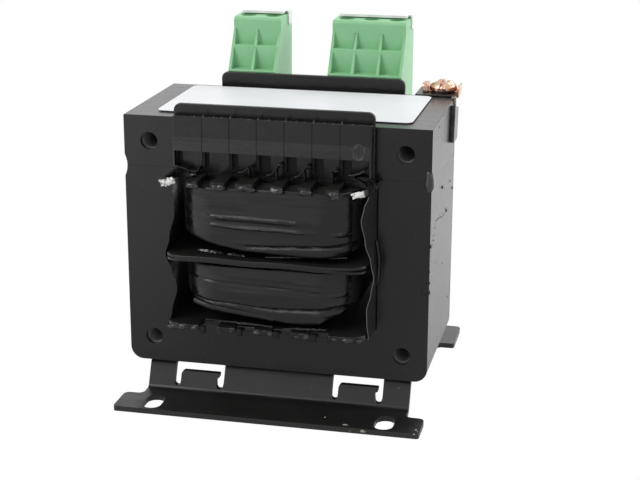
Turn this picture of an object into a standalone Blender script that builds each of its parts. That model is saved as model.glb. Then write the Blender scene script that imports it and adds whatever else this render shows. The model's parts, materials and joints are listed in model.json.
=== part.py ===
"""Mains transformer on a laminated E and I core, with a two-chamber coil, terminals and a folded foot.

Units are metres. X runs to the right along the core's width, Y to the back through its stack, Z up.
The origin is the middle of the whole object's footprint, on the floor that the foot stands on.
"""

import math

import bmesh
import bpy
from mathutils import Matrix, Vector

# Clearance between pieces that touch on the real object
GAP = 0.0003

# Core: E laminations with their legs up, closed by I laminations on top
CENTRE_LEG = 0.028
SIDE_LEG = 0.014
WINDOW_WIDTH = 0.014
WINDOW_HEIGHT = 0.042
YOKE = 0.014
STACK = 0.0436
CORE_CORNER = 0.0035
CORE_HOLE = 0.0048
CORE_HOLE_INSET = 0.007
SEAM_HEIGHT = 0.006
SEAM_DEPTH = 0.0007
BEAD_HEIGHT = 0.0024

# Foot: one folded sheet, a channel under the core with a flange in front and behind
SHEET = 0.0015
FOOT_HEIGHT = 0.0096
FOOT_WIDTH = 0.0848
FOOT_WAIST = 0.0744
FRONT_REACH = 0.0152
REAR_REACH = 0.0251
WEB_SETBACK = 0.0035
WEB_SPREAD = 0.0037
FRONT_EAR_START = 0.0049
REAR_EAR_START = 0.0095
BEND = 0.0015
EAR_CORNER = 0.0016
SLOT_WIDTH = 0.0052
SLOT_LENGTH = 0.0090
SLOT_RIM = 0.0008
SLOT_SPACING = 0.0647
HOOK_WIDTH = 0.0143
HOOK_SPACING = 0.0452
HOOK_LOW = 0.0031
HOOK_HIGH = 0.0087
HOOK_TONGUE = 0.0064
HOOK_LEG = 0.0018
HOOK_BARB = 0.0008
HOOK_BARB_HEIGHT = 0.0012

# Coil former: tube, flanges, end plates and the strips of lead chambers
TUBE_WALL = 0.0012
FLANGE = 0.0017
FLANGE_SIDE_CLEARANCE = 0.001
FLANGE_REACH = 0.012
FLANGE_CORNER = 0.0045
DIVIDER_DROP = 0.0011
PLATE = 0.0016
PLATE_CLEARANCE = 0.0004
PLATE_WIDTH = 0.0538
PLATE_RISE = 0.0041
PLATE_CORNER = 0.0022
PITCH = 0.00745
CHAMBERS = 7
STRIP_REACH = 0.0047
STRIP_WALL = 0.0010
STRIP_ROOT = 0.0002
STRIP_LID = 0.0010
STRIP_RISE = 0.0010
STRIP_SLOPE = 0.0006
STRIP_HEIGHT = 0.0090
TOOTH_DROP = 0.0045
CHAMBER_WALL = 0.0009
NOTCH_WIDTH = 0.0020
NOTCH_DEPTH = 0.0022
LOW_NOTCHES = 4
LOW_NOTCH_PITCH = 0.01015
LOW_NOTCH_SHIFT = -0.00065
LOW_NOTCH_WIDTH = 0.0049
LOW_NOTCH_DEPTH = 0.0013

# Windings, their tape and the side insulation
COIL_SIDE_CLEARANCE = 0.0025
COIL_FRONT_CLEARANCE = 0.0010
COIL_CORNER = 0.0085
TAPE = 0.0005
FOIL = 0.0004
FOIL_BOW = 0.0012
FOIL_REACH = 0.0055

# Label on top of the core
LABEL_LENGTH = 0.070
LABEL_FRONT_INSET = 0.0050
LABEL_BACK_INSET = 0.0032
LABEL = 0.0002
LABEL_CORNER = 0.0020
LABEL_SHIFT = 0.0007

# Terminal housings on the rear strip
INPUT_POLES = 2
OUTPUT_POLES = 3
HOUSING_SIDE_CLEARANCE = 0.0003
HOUSING_RISE = 0.0190
HOUSING_DROP = 0.0100
HOUSING_BACK = 0.0230
HOUSING_WALL = 0.0094
HOUSING_NOSE = 0.0026
RIB_TOP = 0.0153
CELL_SINK = 0.0003
RIB_FOOT = 0.0042
SHELF_RISE = 0.0104
SHELF = 0.0007
RIB = 0.0008
SHAFT = 0.0048
SCREW_BACK = 0.0139
CAGE_ROOM_WIDTH = 0.0060
CAGE_ROOM_LOW = -0.0065
CAGE_ROOM_HIGH = 0.0030
CAGE_WALL = 0.0006
CAGE_CORNER = 0.0004
CAGE_DEPTH = 0.0080
SCREW_HEAD = 0.0042
SCREW_HEAD_HEIGHT = 0.0022
SCREW_SHANK = 0.0029
SCREW_SHANK_LENGTH = 0.0120
CAGE_HOLE = 0.0035
CAGE_WIDTH = 0.0054
SCREW_TOP_SUNK = 0.0045
DRIVER_SLOT = 0.0008
DRIVER_SLOT_DEPTH = 0.0010
TAIL_WIDTH = 0.0022
TAIL = 0.0008
TAIL_DROP = 0.0035
TAIL_BACK = 0.0082
TAIL_REACH = 0.0092
MARKER = 0.0008
MARKER_DEPTH = 0.0060

# Lead wires and sleeves
LEAD = 0.0010
SLEEVE = 0.0020
SLEEVE_LENGTH = 0.0040

# Earth terminal at the core's rear right corner
EARTH_SHEET = 0.0012
EARTH_WIDTH = 0.0110
EARTH_LABEL_CLEARANCE = 0.0009
EARTH_BACK = 0.0090
EARTH_LIP_BACK = -0.0020
EARTH_LEG_DROP = 0.0105
EARTH_LEG_TOP = (-0.0061, -0.0021)
EARTH_LEG_FOOT = (-0.0086, -0.0039)
EARTH_LEG_CHAMFER = 0.0011
EARTH_BEND = 0.0004
EARTH_HOLE = 0.0045
EARTH_SCREW_INSET = 0.0045
EARTH_SCREW_BACK = 0.0035
EARTH_HEAD = 0.0080
EARTH_HEAD_HEIGHT = 0.0023
EARTH_SHANK = 0.0039
EARTH_SHANK_LENGTH = 0.0085
EARTH_DRIVER_SLOT = 0.0012
EARTH_NUT = 0.0062
EARTH_NUT_HEIGHT = 0.0026
CLAMP_SHEET = 0.0007
CLAMP_WIDTH = 0.0112
CLAMP_DEPTH = 0.0070
CLAMP_EAR = 0.0028

# Places worked out from the sizes above: the core's middle is x = 0 and y = 0 until the last step
CORE_WIDTH = CENTRE_LEG + 2 * WINDOW_WIDTH + 2 * SIDE_LEG
CORE_SIDE = CORE_WIDTH / 2
FRONT = -STACK / 2
BACK = STACK / 2
CORE_LOW = FOOT_HEIGHT + GAP
WINDOW_LOW = CORE_LOW + YOKE
WINDOW_HIGH = WINDOW_LOW + WINDOW_HEIGHT
CORE_HIGH = WINDOW_HIGH + YOKE
WINDOW_OUTER = CENTRE_LEG / 2 + WINDOW_WIDTH
TUBE_X = CENTRE_LEG / 2 + GAP
TUBE_Y = STACK / 2 + GAP
FLANGE_X = WINDOW_OUTER - FLANGE_SIDE_CLEARANCE
FLANGE_Y = STACK / 2 + FLANGE_REACH
COIL_X = WINDOW_OUTER - COIL_SIDE_CLEARANCE
COIL_Y = FLANGE_Y - COIL_FRONT_CLEARANCE
PLATE_INNER = STACK / 2 + PLATE_CLEARANCE
PLATE_OUTER = PLATE_INNER + PLATE
STRIP_OUTER = STACK / 2 + STRIP_REACH
STRIP_HIGH = CORE_HIGH + STRIP_RISE
STRIP_LOW = STRIP_HIGH - STRIP_HEIGHT
FLANGE_LOWS = (
    WINDOW_LOW + GAP,
    WINDOW_LOW + WINDOW_HEIGHT / 2 - FLANGE / 2 - DIVIDER_DROP,
    WINDOW_HIGH - GAP - FLANGE,
)
TOOTH_LOW = STRIP_LOW - TOOTH_DROP
STRIP_X = CHAMBERS * PITCH / 2
SEAT = STRIP_HIGH + STRIP_SLOPE + GAP
HOUSING_HIGH = CORE_HIGH + HOUSING_RISE
HOUSING_LOW = CORE_HIGH - HOUSING_DROP
SCREW_Y = BACK + SCREW_BACK
HEAD_LOW = HOUSING_HIGH - SCREW_TOP_SUNK - SCREW_HEAD_HEIGHT
CAGE_LOW = CORE_HIGH + CAGE_ROOM_LOW + GAP
CAGE_HIGH = CORE_HIGH + CAGE_ROOM_HIGH - GAP
CAGE_FRONT = SCREW_Y - CAGE_DEPTH / 2
CAGE_BACK = SCREW_Y + CAGE_DEPTH / 2
TAIL_FRONT = BACK + TAIL_BACK
TAIL_SHELF = CAGE_LOW + CAGE_WALL + GAP
TAIL_LOW = HOUSING_LOW - TAIL_DROP
LEAD_Y = FLANGE_Y - NOTCH_DEPTH / 2
LABEL_FRONT = FRONT + LABEL_FRONT_INSET
LABEL_BACK = BACK - LABEL_BACK_INSET
EARTH_FRONT = LABEL_BACK + EARTH_LABEL_CLEARANCE
EARTH_INNER = CORE_SIDE + GAP
EARTH_OUTER = EARTH_INNER + EARTH_SHEET
EARTH_LOW = CORE_HIGH + GAP
EARTH_TOP = EARTH_LOW + EARTH_SHEET
EARTH_LEFT = CORE_SIDE - EARTH_WIDTH
EARTH_SCREW_X = CORE_SIDE - EARTH_SCREW_INSET
EARTH_SCREW_Y = BACK + EARTH_SCREW_BACK
CLAMP_LOW = EARTH_TOP + GAP
EARTH_HEAD_LOW = CLAMP_LOW + CLAMP_SHEET + GAP
MIDDLE_X = (EARTH_OUTER - FOOT_WIDTH / 2) / 2
MIDDLE_Y = (REAR_REACH - FRONT_REACH) / 2

for old in list(bpy.data.objects):
    bpy.data.objects.remove(old, do_unlink=True)

parts = bpy.data.collections.new("mains_transformer")
cutters = bpy.data.collections.new("cutters")
bpy.context.scene.collection.children.link(parts)
bpy.context.scene.collection.children.link(cutters)

middle = bpy.data.objects.new("core_middle", None)
parts.objects.link(middle)
middle.location = (-MIDDLE_X, -MIDDLE_Y, 0)
bpy.context.view_layer.update()


def finish(name, colour, roughness, metallic=0.0):
    """A material of one colour, roughness and metallic value."""
    material = bpy.data.materials.new(name)
    material.use_nodes = True
    shader = material.node_tree.nodes["Principled BSDF"]
    shader.inputs["Base Color"].default_value = (*colour, 1)
    shader.inputs["Roughness"].default_value = roughness
    shader.inputs["Metallic"].default_value = metallic
    material.diffuse_color = (*colour, 1)
    return material


LACQUER = finish("black_lacquer", (0.035, 0.035, 0.038), 0.35)
WELD = finish("lacquered_weld", (0.09, 0.09, 0.095), 0.45)
PAINT = finish("foot_paint", (0.03, 0.028, 0.027), 0.4)
MOULDING = finish("black_moulding", (0.02, 0.02, 0.021), 0.45)
COPPER = finish("winding_copper", (0.72, 0.30, 0.16), 0.3, 1.0)
TAPE_FILM = finish("black_tape", (0.03, 0.03, 0.031), 0.35)
FOIL_FILM = finish("insulation_foil", (0.025, 0.025, 0.026), 0.25)
PAPER = finish("label_paper", (0.85, 0.85, 0.87), 0.5)
GREEN = finish("green_moulding", (0.27, 0.61, 0.31), 0.5)
STEEL = finish("zinc_steel", (0.62, 0.62, 0.62), 0.35, 1.0)
TINNED = finish("tinned_brass", (0.75, 0.72, 0.66), 0.3, 1.0)
COPPERED = finish("coppered_steel", (0.78, 0.38, 0.25), 0.3, 1.0)
SLEEVING = finish("white_sleeving", (0.9, 0.9, 0.88), 0.6)


def keep(name, mesh, material, sharp_degrees=35):
    """A finished piece: one object that hangs on the core's middle."""
    mesh.materials.clear()
    mesh.materials.append(material)
    mesh.shade_smooth()
    mesh.set_sharp_from_angle(angle=math.radians(sharp_degrees))
    piece = bpy.data.objects.new(name, mesh)
    parts.objects.link(piece)
    piece.parent = middle
    return piece


def combine(piece, tool, operation="DIFFERENCE"):
    """Cuts the tool from the piece, joins it on, or keeps only what they share."""
    if tool.name in parts.objects:
        parts.objects.unlink(tool)
        cutters.objects.link(tool)
    tool.hide_render = True
    tool.display_type = "WIRE"
    modifier = piece.modifiers.new(tool.name, "BOOLEAN")
    modifier.operation = operation
    modifier.object = tool
    modifier.solver = "EXACT"


def rounded(corners, steps=4):
    """The closed outline through corners (u, v, radius), with an arc at each that has a radius."""
    points = []
    for index, (u, v, radius) in enumerate(corners):
        here = Vector((u, v))
        before = (Vector(corners[index - 1][:2]) - here).normalized()
        after = (Vector(corners[(index + 1) % len(corners)][:2]) - here).normalized()
        half = before.angle(after) / 2
        if radius <= 0:
            points.append(here)
            continue
        reach = radius / math.tan(half)
        centre = here + (before + after).normalized() * radius / math.sin(half)
        start = here + before * reach - centre
        end = here + after * reach - centre
        first = math.atan2(start.y, start.x)
        turn = (math.atan2(end.y, end.x) - first + math.pi) % (2 * math.pi) - math.pi
        for step in range(steps + 1):
            angle = first + turn * step / steps
            points.append(centre + radius * Vector((math.cos(angle), math.sin(angle))))
    return points


def rectangle(low_u, low_v, high_u, high_v, radius=0.0, steps=4):
    """A rectangle, with its four corners rounded where a radius is given."""
    corners = ((low_u, low_v), (high_u, low_v), (high_u, high_v), (low_u, high_v))
    return rounded([(u, v, radius) for u, v in corners], steps)


def circle(u, v, radius, count=16):
    """Points round a circle."""
    turns = [2 * math.pi * index / count for index in range(count)]
    return [Vector((u + radius * math.cos(turn), v + radius * math.sin(turn))) for turn in turns]


def outline_mesh(name, loops, low, high, normal):
    """A mesh of flat outlines, holes included, that runs from low to high along its normal."""
    curve = bpy.data.curves.new(name, "CURVE")
    curve.dimensions = "2D"
    curve.fill_mode = "BOTH"
    curve.extrude = (high - low) / 2
    for loop in loops:
        spline = curve.splines.new("POLY")
        spline.points.add(len(loop) - 1)
        for point, (u, v) in zip(spline.points, loop):
            point.co = (u, v, 0, 1)
        spline.use_cyclic_u = True
    guide = bpy.data.objects.new(name + "_outline", curve)
    cutters.objects.link(guide)
    graph = bpy.context.evaluated_depsgraph_get()
    mesh = bpy.data.meshes.new_from_object(guide.evaluated_get(graph))
    bpy.data.objects.remove(guide, do_unlink=True)
    bpy.data.curves.remove(curve)
    # Each turn carries the outline's plane, without mirroring it, to face along X, Y or Z
    turns = {
        "x": Matrix(((0, 0, 1, 0), (1, 0, 0, 0), (0, 1, 0, 0), (0, 0, 0, 1))),
        "y": Matrix(((1, 0, 0, 0), (0, 0, -1, 0), (0, 1, 0, 0), (0, 0, 0, 1))),
        "z": Matrix.Identity(4),
    }
    away = Vector([(low + high) / 2 if axis == normal else 0 for axis in "xyz"])
    shell = bmesh.new()
    shell.from_mesh(mesh)
    bmesh.ops.transform(shell, matrix=Matrix.Translation(away) @ turns[normal], verts=shell.verts)
    bmesh.ops.remove_doubles(shell, verts=shell.verts, dist=1e-6)
    bmesh.ops.recalc_face_normals(shell, faces=shell.faces)
    shell.to_mesh(mesh)
    shell.free()
    return mesh


def prisms(name, spans, normal, material):
    """One object of separate prisms, each given as its outlines with its low and high end."""
    shell = bmesh.new()
    for loops, low, high in spans:
        mesh = outline_mesh(name, loops, low, high, normal)
        shell.from_mesh(mesh)
        bpy.data.meshes.remove(mesh)
    mesh = bpy.data.meshes.new(name)
    shell.to_mesh(mesh)
    shell.free()
    return keep(name, mesh, material)


def boxes(name, spans, material):
    """One object of separate plain boxes, each from its low corner to its high corner."""
    shell = bmesh.new()
    for low, high in spans:
        low = Vector(low)
        high = Vector(high)
        place = Matrix.LocRotScale((low + high) / 2, None, high - low)
        bmesh.ops.create_cube(shell, size=1, matrix=place)
    mesh = bpy.data.meshes.new(name)
    shell.to_mesh(mesh)
    shell.free()
    return keep(name, mesh, material)


def rods(name, places, diameter, low, high, material, count=16, normal="z"):
    """One object of separate round bars along Z or Y, at the places across that axis."""
    shell = bmesh.new()
    for u, v in places:
        if normal == "z":
            place = Matrix.Translation((u, v, (low + high) / 2))
        else:
            place = Matrix.Translation((u, (low + high) / 2, v)) @ Matrix.Rotation(math.pi / 2, 4, "X")
        bmesh.ops.create_cone(
            shell,
            cap_ends=True,
            segments=count,
            radius1=diameter / 2,
            radius2=diameter / 2,
            depth=high - low,
            matrix=place,
        )
    mesh = bpy.data.meshes.new(name)
    shell.to_mesh(mesh)
    shell.free()
    return keep(name, mesh, material)


def turned(name, profile, place, material, steps=16):
    """A turned piece: its half section (radius, height), swept round its own upright axis."""
    mesh = bpy.data.meshes.new(name)
    edges = [(index, index + 1) for index in range(len(profile) - 1)]
    mesh.from_pydata([(radius, 0, height) for radius, height in profile], edges, [])
    piece = keep(name, mesh, material)
    piece.location = place
    sweep = piece.modifiers.new("sweep", "SCREW")
    sweep.steps = steps
    sweep.render_steps = steps
    sweep.use_merge_vertices = True
    sweep.merge_threshold = 1e-5
    sweep.use_normal_calculate = True
    return piece


def screw(name, place, head, head_height, shank, shank_length, slot, material):
    """A cheese-head screw: place is the middle of its head's underside."""
    bevel = head_height / 8
    profile = [
        (0, head_height),
        (head / 2 - bevel, head_height),
        (head / 2, head_height - bevel),
        (head / 2, 0),
        (shank / 2, 0),
        (shank / 2, -shank_length + shank / 8),
        (shank / 2 - shank / 8, -shank_length),
        (0, -shank_length),
    ]
    piece = turned(name, profile, place, material)
    x, y, z = place
    top = z + head_height
    groove = boxes(
        name + "_slot",
        [((x - head, y - slot / 2, top - head_height / 2), (x + head, y + slot / 2, top + head_height))],
        material,
    )
    combine(piece, groove)
    return piece


def smooth_route(points, steps):
    """Points along one smooth curve through the given ones."""
    route = []
    padded = [2 * points[0] - points[1], *points, 2 * points[-1] - points[-2]]
    for index in range(1, len(padded) - 2):
        a, b, c, d = padded[index - 1 : index + 3]
        for step in range(steps):
            t = step / steps
            bend = (c - a) * t + (2 * a - 5 * b + 4 * c - d) * t**2 + (3 * b - a - 3 * c + d) * t**3
            route.append(b + bend / 2)
    route.append(points[-1])
    return route


def wire(name, points, diameter, material, steps=4):
    """A round wire or sleeve along a smooth route."""
    curve = bpy.data.curves.new(name, "CURVE")
    curve.dimensions = "3D"
    curve.bevel_depth = diameter / 2
    curve.bevel_resolution = 2
    curve.use_fill_caps = True
    route = smooth_route([Vector(point) for point in points], steps)
    spline = curve.splines.new("POLY")
    spline.points.add(len(route) - 1)
    for point, place in zip(spline.points, route):
        point.co = (*place, 1)
    curve.materials.append(material)
    piece = bpy.data.objects.new(name, curve)
    parts.objects.link(piece)
    piece.parent = middle
    return piece


def make_core():
    """The E stack, the I stack and the welded seams between them."""
    joint = WINDOW_HIGH - GAP / 2
    leg = CENTRE_LEG / 2
    outline = rounded(
        [
            (-CORE_SIDE, CORE_LOW, CORE_CORNER),
            (CORE_SIDE, CORE_LOW, CORE_CORNER),
            (CORE_SIDE, joint, 0),
            (WINDOW_OUTER, joint, 0),
            (WINDOW_OUTER, WINDOW_LOW, 0),
            (leg, WINDOW_LOW, 0),
            (leg, joint, 0),
            (-leg, joint, 0),
            (-leg, WINDOW_LOW, 0),
            (-WINDOW_OUTER, WINDOW_LOW, 0),
            (-WINDOW_OUTER, joint, 0),
            (-CORE_SIDE, joint, 0),
        ],
        steps=6,
    )
    hole_x = CORE_SIDE - CORE_HOLE_INSET
    low_holes = [circle(x, CORE_LOW + CORE_HOLE_INSET, CORE_HOLE / 2) for x in (-hole_x, hole_x)]
    high_holes = [circle(x, CORE_HIGH - CORE_HOLE_INSET, CORE_HOLE / 2) for x in (-hole_x, hole_x)]
    e_stack = prisms("core_e_stack", [([outline, *low_holes], FRONT, BACK)], "y", LACQUER)
    bar = rectangle(-CORE_SIDE, WINDOW_HIGH + GAP / 2, CORE_SIDE, CORE_HIGH)
    i_stack = prisms("core_i_stack", [([bar, *high_holes], FRONT, BACK)], "y", LACQUER)

    # The groove is a shallow arc, so its cutter is a wide cylinder that only just reaches the side
    radius = (SEAM_HEIGHT**2 / 4 + SEAM_DEPTH**2) / (2 * SEAM_DEPTH)
    axis = CORE_SIDE - SEAM_DEPTH + radius
    centres = [(-axis, WINDOW_HIGH), (axis, WINDOW_HIGH)]
    groove = rods("seam_grooves", centres, 2 * radius, FRONT - SHEET, BACK + SHEET, WELD, 48, "y")
    combine(e_stack, groove)
    combine(i_stack, groove)
    for side, name in ((-1, "seam_left"), (1, "seam_right")):
        inner = side * (CORE_SIDE - SEAM_DEPTH + GAP)
        outer = side * CORE_SIDE
        low = WINDOW_HIGH - BEAD_HEIGHT / 2
        high = WINDOW_HIGH + BEAD_HEIGHT / 2
        slope = BEAD_HEIGHT / 4
        bead = rounded([(inner, low, 0), (outer, low + slope, 0), (outer, high - slope, 0), (inner, high, 0)])
        prisms(name, [([bead], FRONT + SHEET, BACK - SHEET)], "y", WELD)


def hook_slot(centre):
    """The outline of one hook-shaped slot in a web, across and up."""
    left = centre - HOOK_WIDTH / 2
    right = centre + HOOK_WIDTH / 2
    barb = right - HOOK_LEG + HOOK_BARB / 2
    under = barb - HOOK_BARB
    low_barb = HOOK_TONGUE - HOOK_BARB_HEIGHT
    leg = HOOK_LEG / 2.3
    small = HOOK_BARB / 3
    return rounded(
        [
            (left, HOOK_LOW, leg),
            (left + HOOK_LEG, HOOK_LOW, leg),
            (left + HOOK_LEG, HOOK_TONGUE, leg),
            (barb, HOOK_TONGUE, small),
            (barb, low_barb, small),
            (under, low_barb, small),
            (under, HOOK_LOW, leg),
            (right, HOOK_LOW, leg),
            (right, HOOK_HIGH, small),
            (left, HOOK_HIGH, small),
        ],
        steps=2,
    )


def make_foot():
    """The folded foot: its section along X, kept inside its plan, with the hook slots cut."""
    top = STACK / 2 - WEB_SETBACK
    spread = top + WEB_SPREAD
    front_edge = FRONT - FRONT_REACH
    rear_edge = BACK + REAR_REACH
    # The underside runs parallel to the upper skin, so the bends keep the sheet's thickness
    lean = math.atan2(FOOT_HEIGHT - SHEET, WEB_SPREAD)
    shift = SHEET * math.tan(lean / 2)
    section = rounded(
        [
            (front_edge - SHEET, SHEET, 0),
            (-spread, SHEET, BEND),
            (-top, FOOT_HEIGHT, BEND + SHEET),
            (top, FOOT_HEIGHT, BEND + SHEET),
            (spread, SHEET, BEND),
            (rear_edge + SHEET, SHEET, 0),
            (rear_edge + SHEET, 0, 0),
            (spread - shift, 0, BEND + SHEET),
            (top - shift, FOOT_HEIGHT - SHEET, BEND),
            (-top + shift, FOOT_HEIGHT - SHEET, BEND),
            (-spread + shift, 0, BEND + SHEET),
            (front_edge - SHEET, 0, 0),
        ]
    )
    half = FOOT_WIDTH / 2
    foot = prisms("foot_bracket", [([section], -half - SHEET, half + SHEET)], "x", PAINT)

    waist = FOOT_WAIST / 2
    front_ear = FRONT - FRONT_EAR_START
    rear_ear = BACK + REAR_EAR_START
    plan = rounded(
        [
            (-half, front_edge, EAR_CORNER / 2),
            (half, front_edge, EAR_CORNER / 2),
            (half, front_ear, EAR_CORNER),
            (waist, front_ear, EAR_CORNER),
            (waist, rear_ear, EAR_CORNER),
            (half, rear_ear, EAR_CORNER / 2),
            (half, rear_edge, EAR_CORNER),
            (-half, rear_edge, EAR_CORNER),
            (-half, rear_ear, EAR_CORNER / 2),
            (-waist, rear_ear, EAR_CORNER),
            (-waist, front_ear, EAR_CORNER),
            (-half, front_ear, EAR_CORNER),
        ],
        steps=3,
    )
    blank = prisms("foot_blank", [([plan], -SHEET, CORE_LOW + SHEET)], "z", PAINT)
    combine(foot, blank, "INTERSECT")
    slots = []
    for x in (-SLOT_SPACING / 2, SLOT_SPACING / 2):
        for low in (front_edge + SLOT_RIM, rear_edge - SLOT_RIM - SLOT_LENGTH):
            end = SLOT_WIDTH / 2.02
            slot = rectangle(x - SLOT_WIDTH / 2, low, x + SLOT_WIDTH / 2, low + SLOT_LENGTH, end, 6)
            slots.append(([slot], -SHEET, 2 * SHEET))
    combine(foot, prisms("fixing_slots", slots, "z", PAINT))
    hooks = []
    reach = spread + SHEET
    inside = top - (BEND + SHEET) / 2
    for centre in (-HOOK_SPACING / 2, HOOK_SPACING / 2):
        hooks.append(([hook_slot(centre)], -reach, -inside))
        hooks.append(([hook_slot(centre)], inside, reach))
    combine(foot, prisms("hook_slots", hooks, "y", PAINT))


def flange_plan(front_notches, rear_notches, width=NOTCH_WIDTH, depth=NOTCH_DEPTH):
    """A flange's plan, with a notch in its front or back edge at each given place."""
    half = width / 2
    inner = FLANGE_Y - depth
    corners = [(-FLANGE_X, -FLANGE_Y, FLANGE_CORNER)]
    for x in sorted(front_notches):
        corners += [(x - half, -FLANGE_Y, 0), (x - half, -inner, 0)]
        corners += [(x + half, -inner, 0), (x + half, -FLANGE_Y, 0)]
    corners.append((FLANGE_X, -FLANGE_Y, FLANGE_CORNER))
    corners.append((FLANGE_X, FLANGE_Y, FLANGE_CORNER))
    for x in sorted(rear_notches, reverse=True):
        corners += [(x + half, FLANGE_Y, 0), (x + half, inner, 0)]
        corners += [(x - half, inner, 0), (x - half, FLANGE_Y, 0)]
    corners.append((-FLANGE_X, FLANGE_Y, FLANGE_CORNER))
    return rounded(corners, 5)


def pole_places():
    """Where each pole stands across the width, housing by housing."""
    inputs = [-STRIP_X + (index + 0.5) * PITCH for index in range(INPUT_POLES)]
    outputs = [STRIP_X - (index + 0.5) * PITCH for index in reversed(range(OUTPUT_POLES))]
    return inputs, outputs


def notch_at(x):
    """The place of a pole's lead notch: the pole's own, kept off the flange's rounded corners."""
    most = FLANGE_X - FLANGE_CORNER - NOTCH_WIDTH / 2 - GAP
    return max(-most, min(most, x))


def make_strip(side, end):
    """One strip of lead chambers: a solid bar with its chambers cut, open towards the coil."""
    root = PLATE_INNER + PLATE / 2
    solid = rounded(
        [
            (side * root, TOOTH_LOW, 0),
            (side * STRIP_OUTER, TOOTH_LOW, 0),
            (side * STRIP_OUTER, STRIP_HIGH, 0),
            (side * root, STRIP_HIGH + STRIP_SLOPE, 0),
        ]
    )
    strip = prisms("strip_" + end, [([solid], -STRIP_X, STRIP_X)], "x", MOULDING)
    back = side * (PLATE_OUTER + STRIP_ROOT)
    wall = side * (STRIP_OUTER - STRIP_WALL)
    beyond = side * (STRIP_OUTER + STRIP_WALL)
    lid = STRIP_HIGH - STRIP_LID
    below = TOOTH_LOW - STRIP_WALL
    room = rounded(
        [
            (back, below, 0),
            (beyond, below, 0),
            (beyond, STRIP_LOW, 0),
            (wall, STRIP_LOW, 0),
            (wall, lid, 0),
            (back, lid, 0),
        ]
    )
    rooms = []
    for index in range(CHAMBERS):
        left = -STRIP_X + index * PITCH + CHAMBER_WALL / (1 if index == 0 else 2)
        right = -STRIP_X + (index + 1) * PITCH - CHAMBER_WALL / (1 if index == CHAMBERS - 1 else 2)
        rooms.append(([room], left, right))
    combine(strip, prisms("chambers_" + end, rooms, "x", MOULDING))
    return strip


def make_former():
    """The coil former, one moulding: the tube, flanges, plates and strips joined together."""
    hole = rectangle(-TUBE_X, -TUBE_Y, TUBE_X, TUBE_Y)
    wall_x = TUBE_X + TUBE_WALL
    wall_y = TUBE_Y + TUBE_WALL
    wall = rectangle(-wall_x, -wall_y, wall_x, wall_y)
    low = FLANGE_LOWS[0] + FLANGE / 2
    high = FLANGE_LOWS[2] + FLANGE / 2
    former = prisms("coil_former", [([wall, hole], low, high)], "z", MOULDING)
    eye_x = TUBE_X + TUBE_WALL / 2
    eye_y = TUBE_Y + TUBE_WALL / 2
    eye = rectangle(-eye_x, -eye_y, eye_x, eye_y)
    middle_notch = (LOW_NOTCHES - 1) / 2
    low_notches = [
        LOW_NOTCH_SHIFT + (index - middle_notch) * LOW_NOTCH_PITCH for index in range(LOW_NOTCHES)
    ]
    inputs, outputs = pole_places()
    high_notches = [notch_at(x) for x in inputs + outputs]
    plans = (
        flange_plan(low_notches, low_notches, LOW_NOTCH_WIDTH, LOW_NOTCH_DEPTH),
        flange_plan([], []),
        flange_plan([], high_notches),
    )
    for name, low, plan in zip(("flange_low", "divider", "flange_high"), FLANGE_LOWS, plans):
        combine(former, prisms(name, [([plan, eye], low, low + FLANGE)], "z", MOULDING), "UNION")
    half = PLATE_WIDTH / 2
    plate = rounded(
        [
            (-half, FLANGE_LOWS[2] + FLANGE / 2, 0),
            (half, FLANGE_LOWS[2] + FLANGE / 2, 0),
            (half, CORE_HIGH + PLATE_RISE, PLATE_CORNER),
            (-half, CORE_HIGH + PLATE_RISE, PLATE_CORNER),
        ]
    )
    for side, end in ((-1, "front"), (1, "rear")):
        near, far = sorted((side * PLATE_INNER, side * PLATE_OUTER))
        combine(former, prisms("plate_" + end, [([plate], near, far)], "y", MOULDING), "UNION")
        combine(former, make_strip(side, end), "UNION")


def make_coils():
    """The two windings, each with its tape, and the insulation foils beside them."""
    for index, name in enumerate(("primary", "secondary")):
        low = FLANGE_LOWS[index] + FLANGE + GAP
        high = FLANGE_LOWS[index + 1] - GAP
        inner_x = TUBE_X + TUBE_WALL + GAP
        inner_y = TUBE_Y + TUBE_WALL + GAP
        inner = rectangle(-inner_x, -inner_y, inner_x, inner_y, GAP, 2)
        loops = []
        for inset in (TAPE + GAP, TAPE, 0):
            x = COIL_X - inset
            y = COIL_Y - inset
            loops.append(rectangle(-x, -y, x, y, COIL_CORNER - inset, 8))
        prisms(name + "_winding", [([loops[0], inner], low, high)], "z", COPPER)
        prisms(name + "_tape", [([loops[2], loops[1]], low, high)], "z", TAPE_FILM)
    flat = FLANGE_X + GAP
    for side, name in ((-1, "foil_left"), (1, "foil_right")):
        near = []
        for index in (0, 1):
            low = FLANGE_LOWS[index] + FLANGE
            high = FLANGE_LOWS[index + 1]
            for step in range(9):
                rise = step / 8
                near.append((flat - FOIL_BOW * math.sin(math.pi * rise) ** 2, low + (high - low) * rise))
        near = [(flat, FLANGE_LOWS[0])] + near + [(flat, FLANGE_LOWS[2] + FLANGE)]
        far = [(x + FOIL, z) for x, z in reversed(near)]
        sheet = [Vector((side * x, z)) for x, z in near + far]
        prisms(name, [([sheet], FRONT - FOIL_REACH, BACK + FOIL_REACH)], "y", FOIL_FILM)


def make_label():
    """The label on top of the core."""
    half = LABEL_LENGTH / 2
    outline = rectangle(LABEL_SHIFT - half, LABEL_FRONT, LABEL_SHIFT + half, LABEL_BACK, LABEL_CORNER)
    low = CORE_HIGH + GAP
    prisms("rating_label", [([outline], low, low + LABEL)], "z", PAPER)


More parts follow.
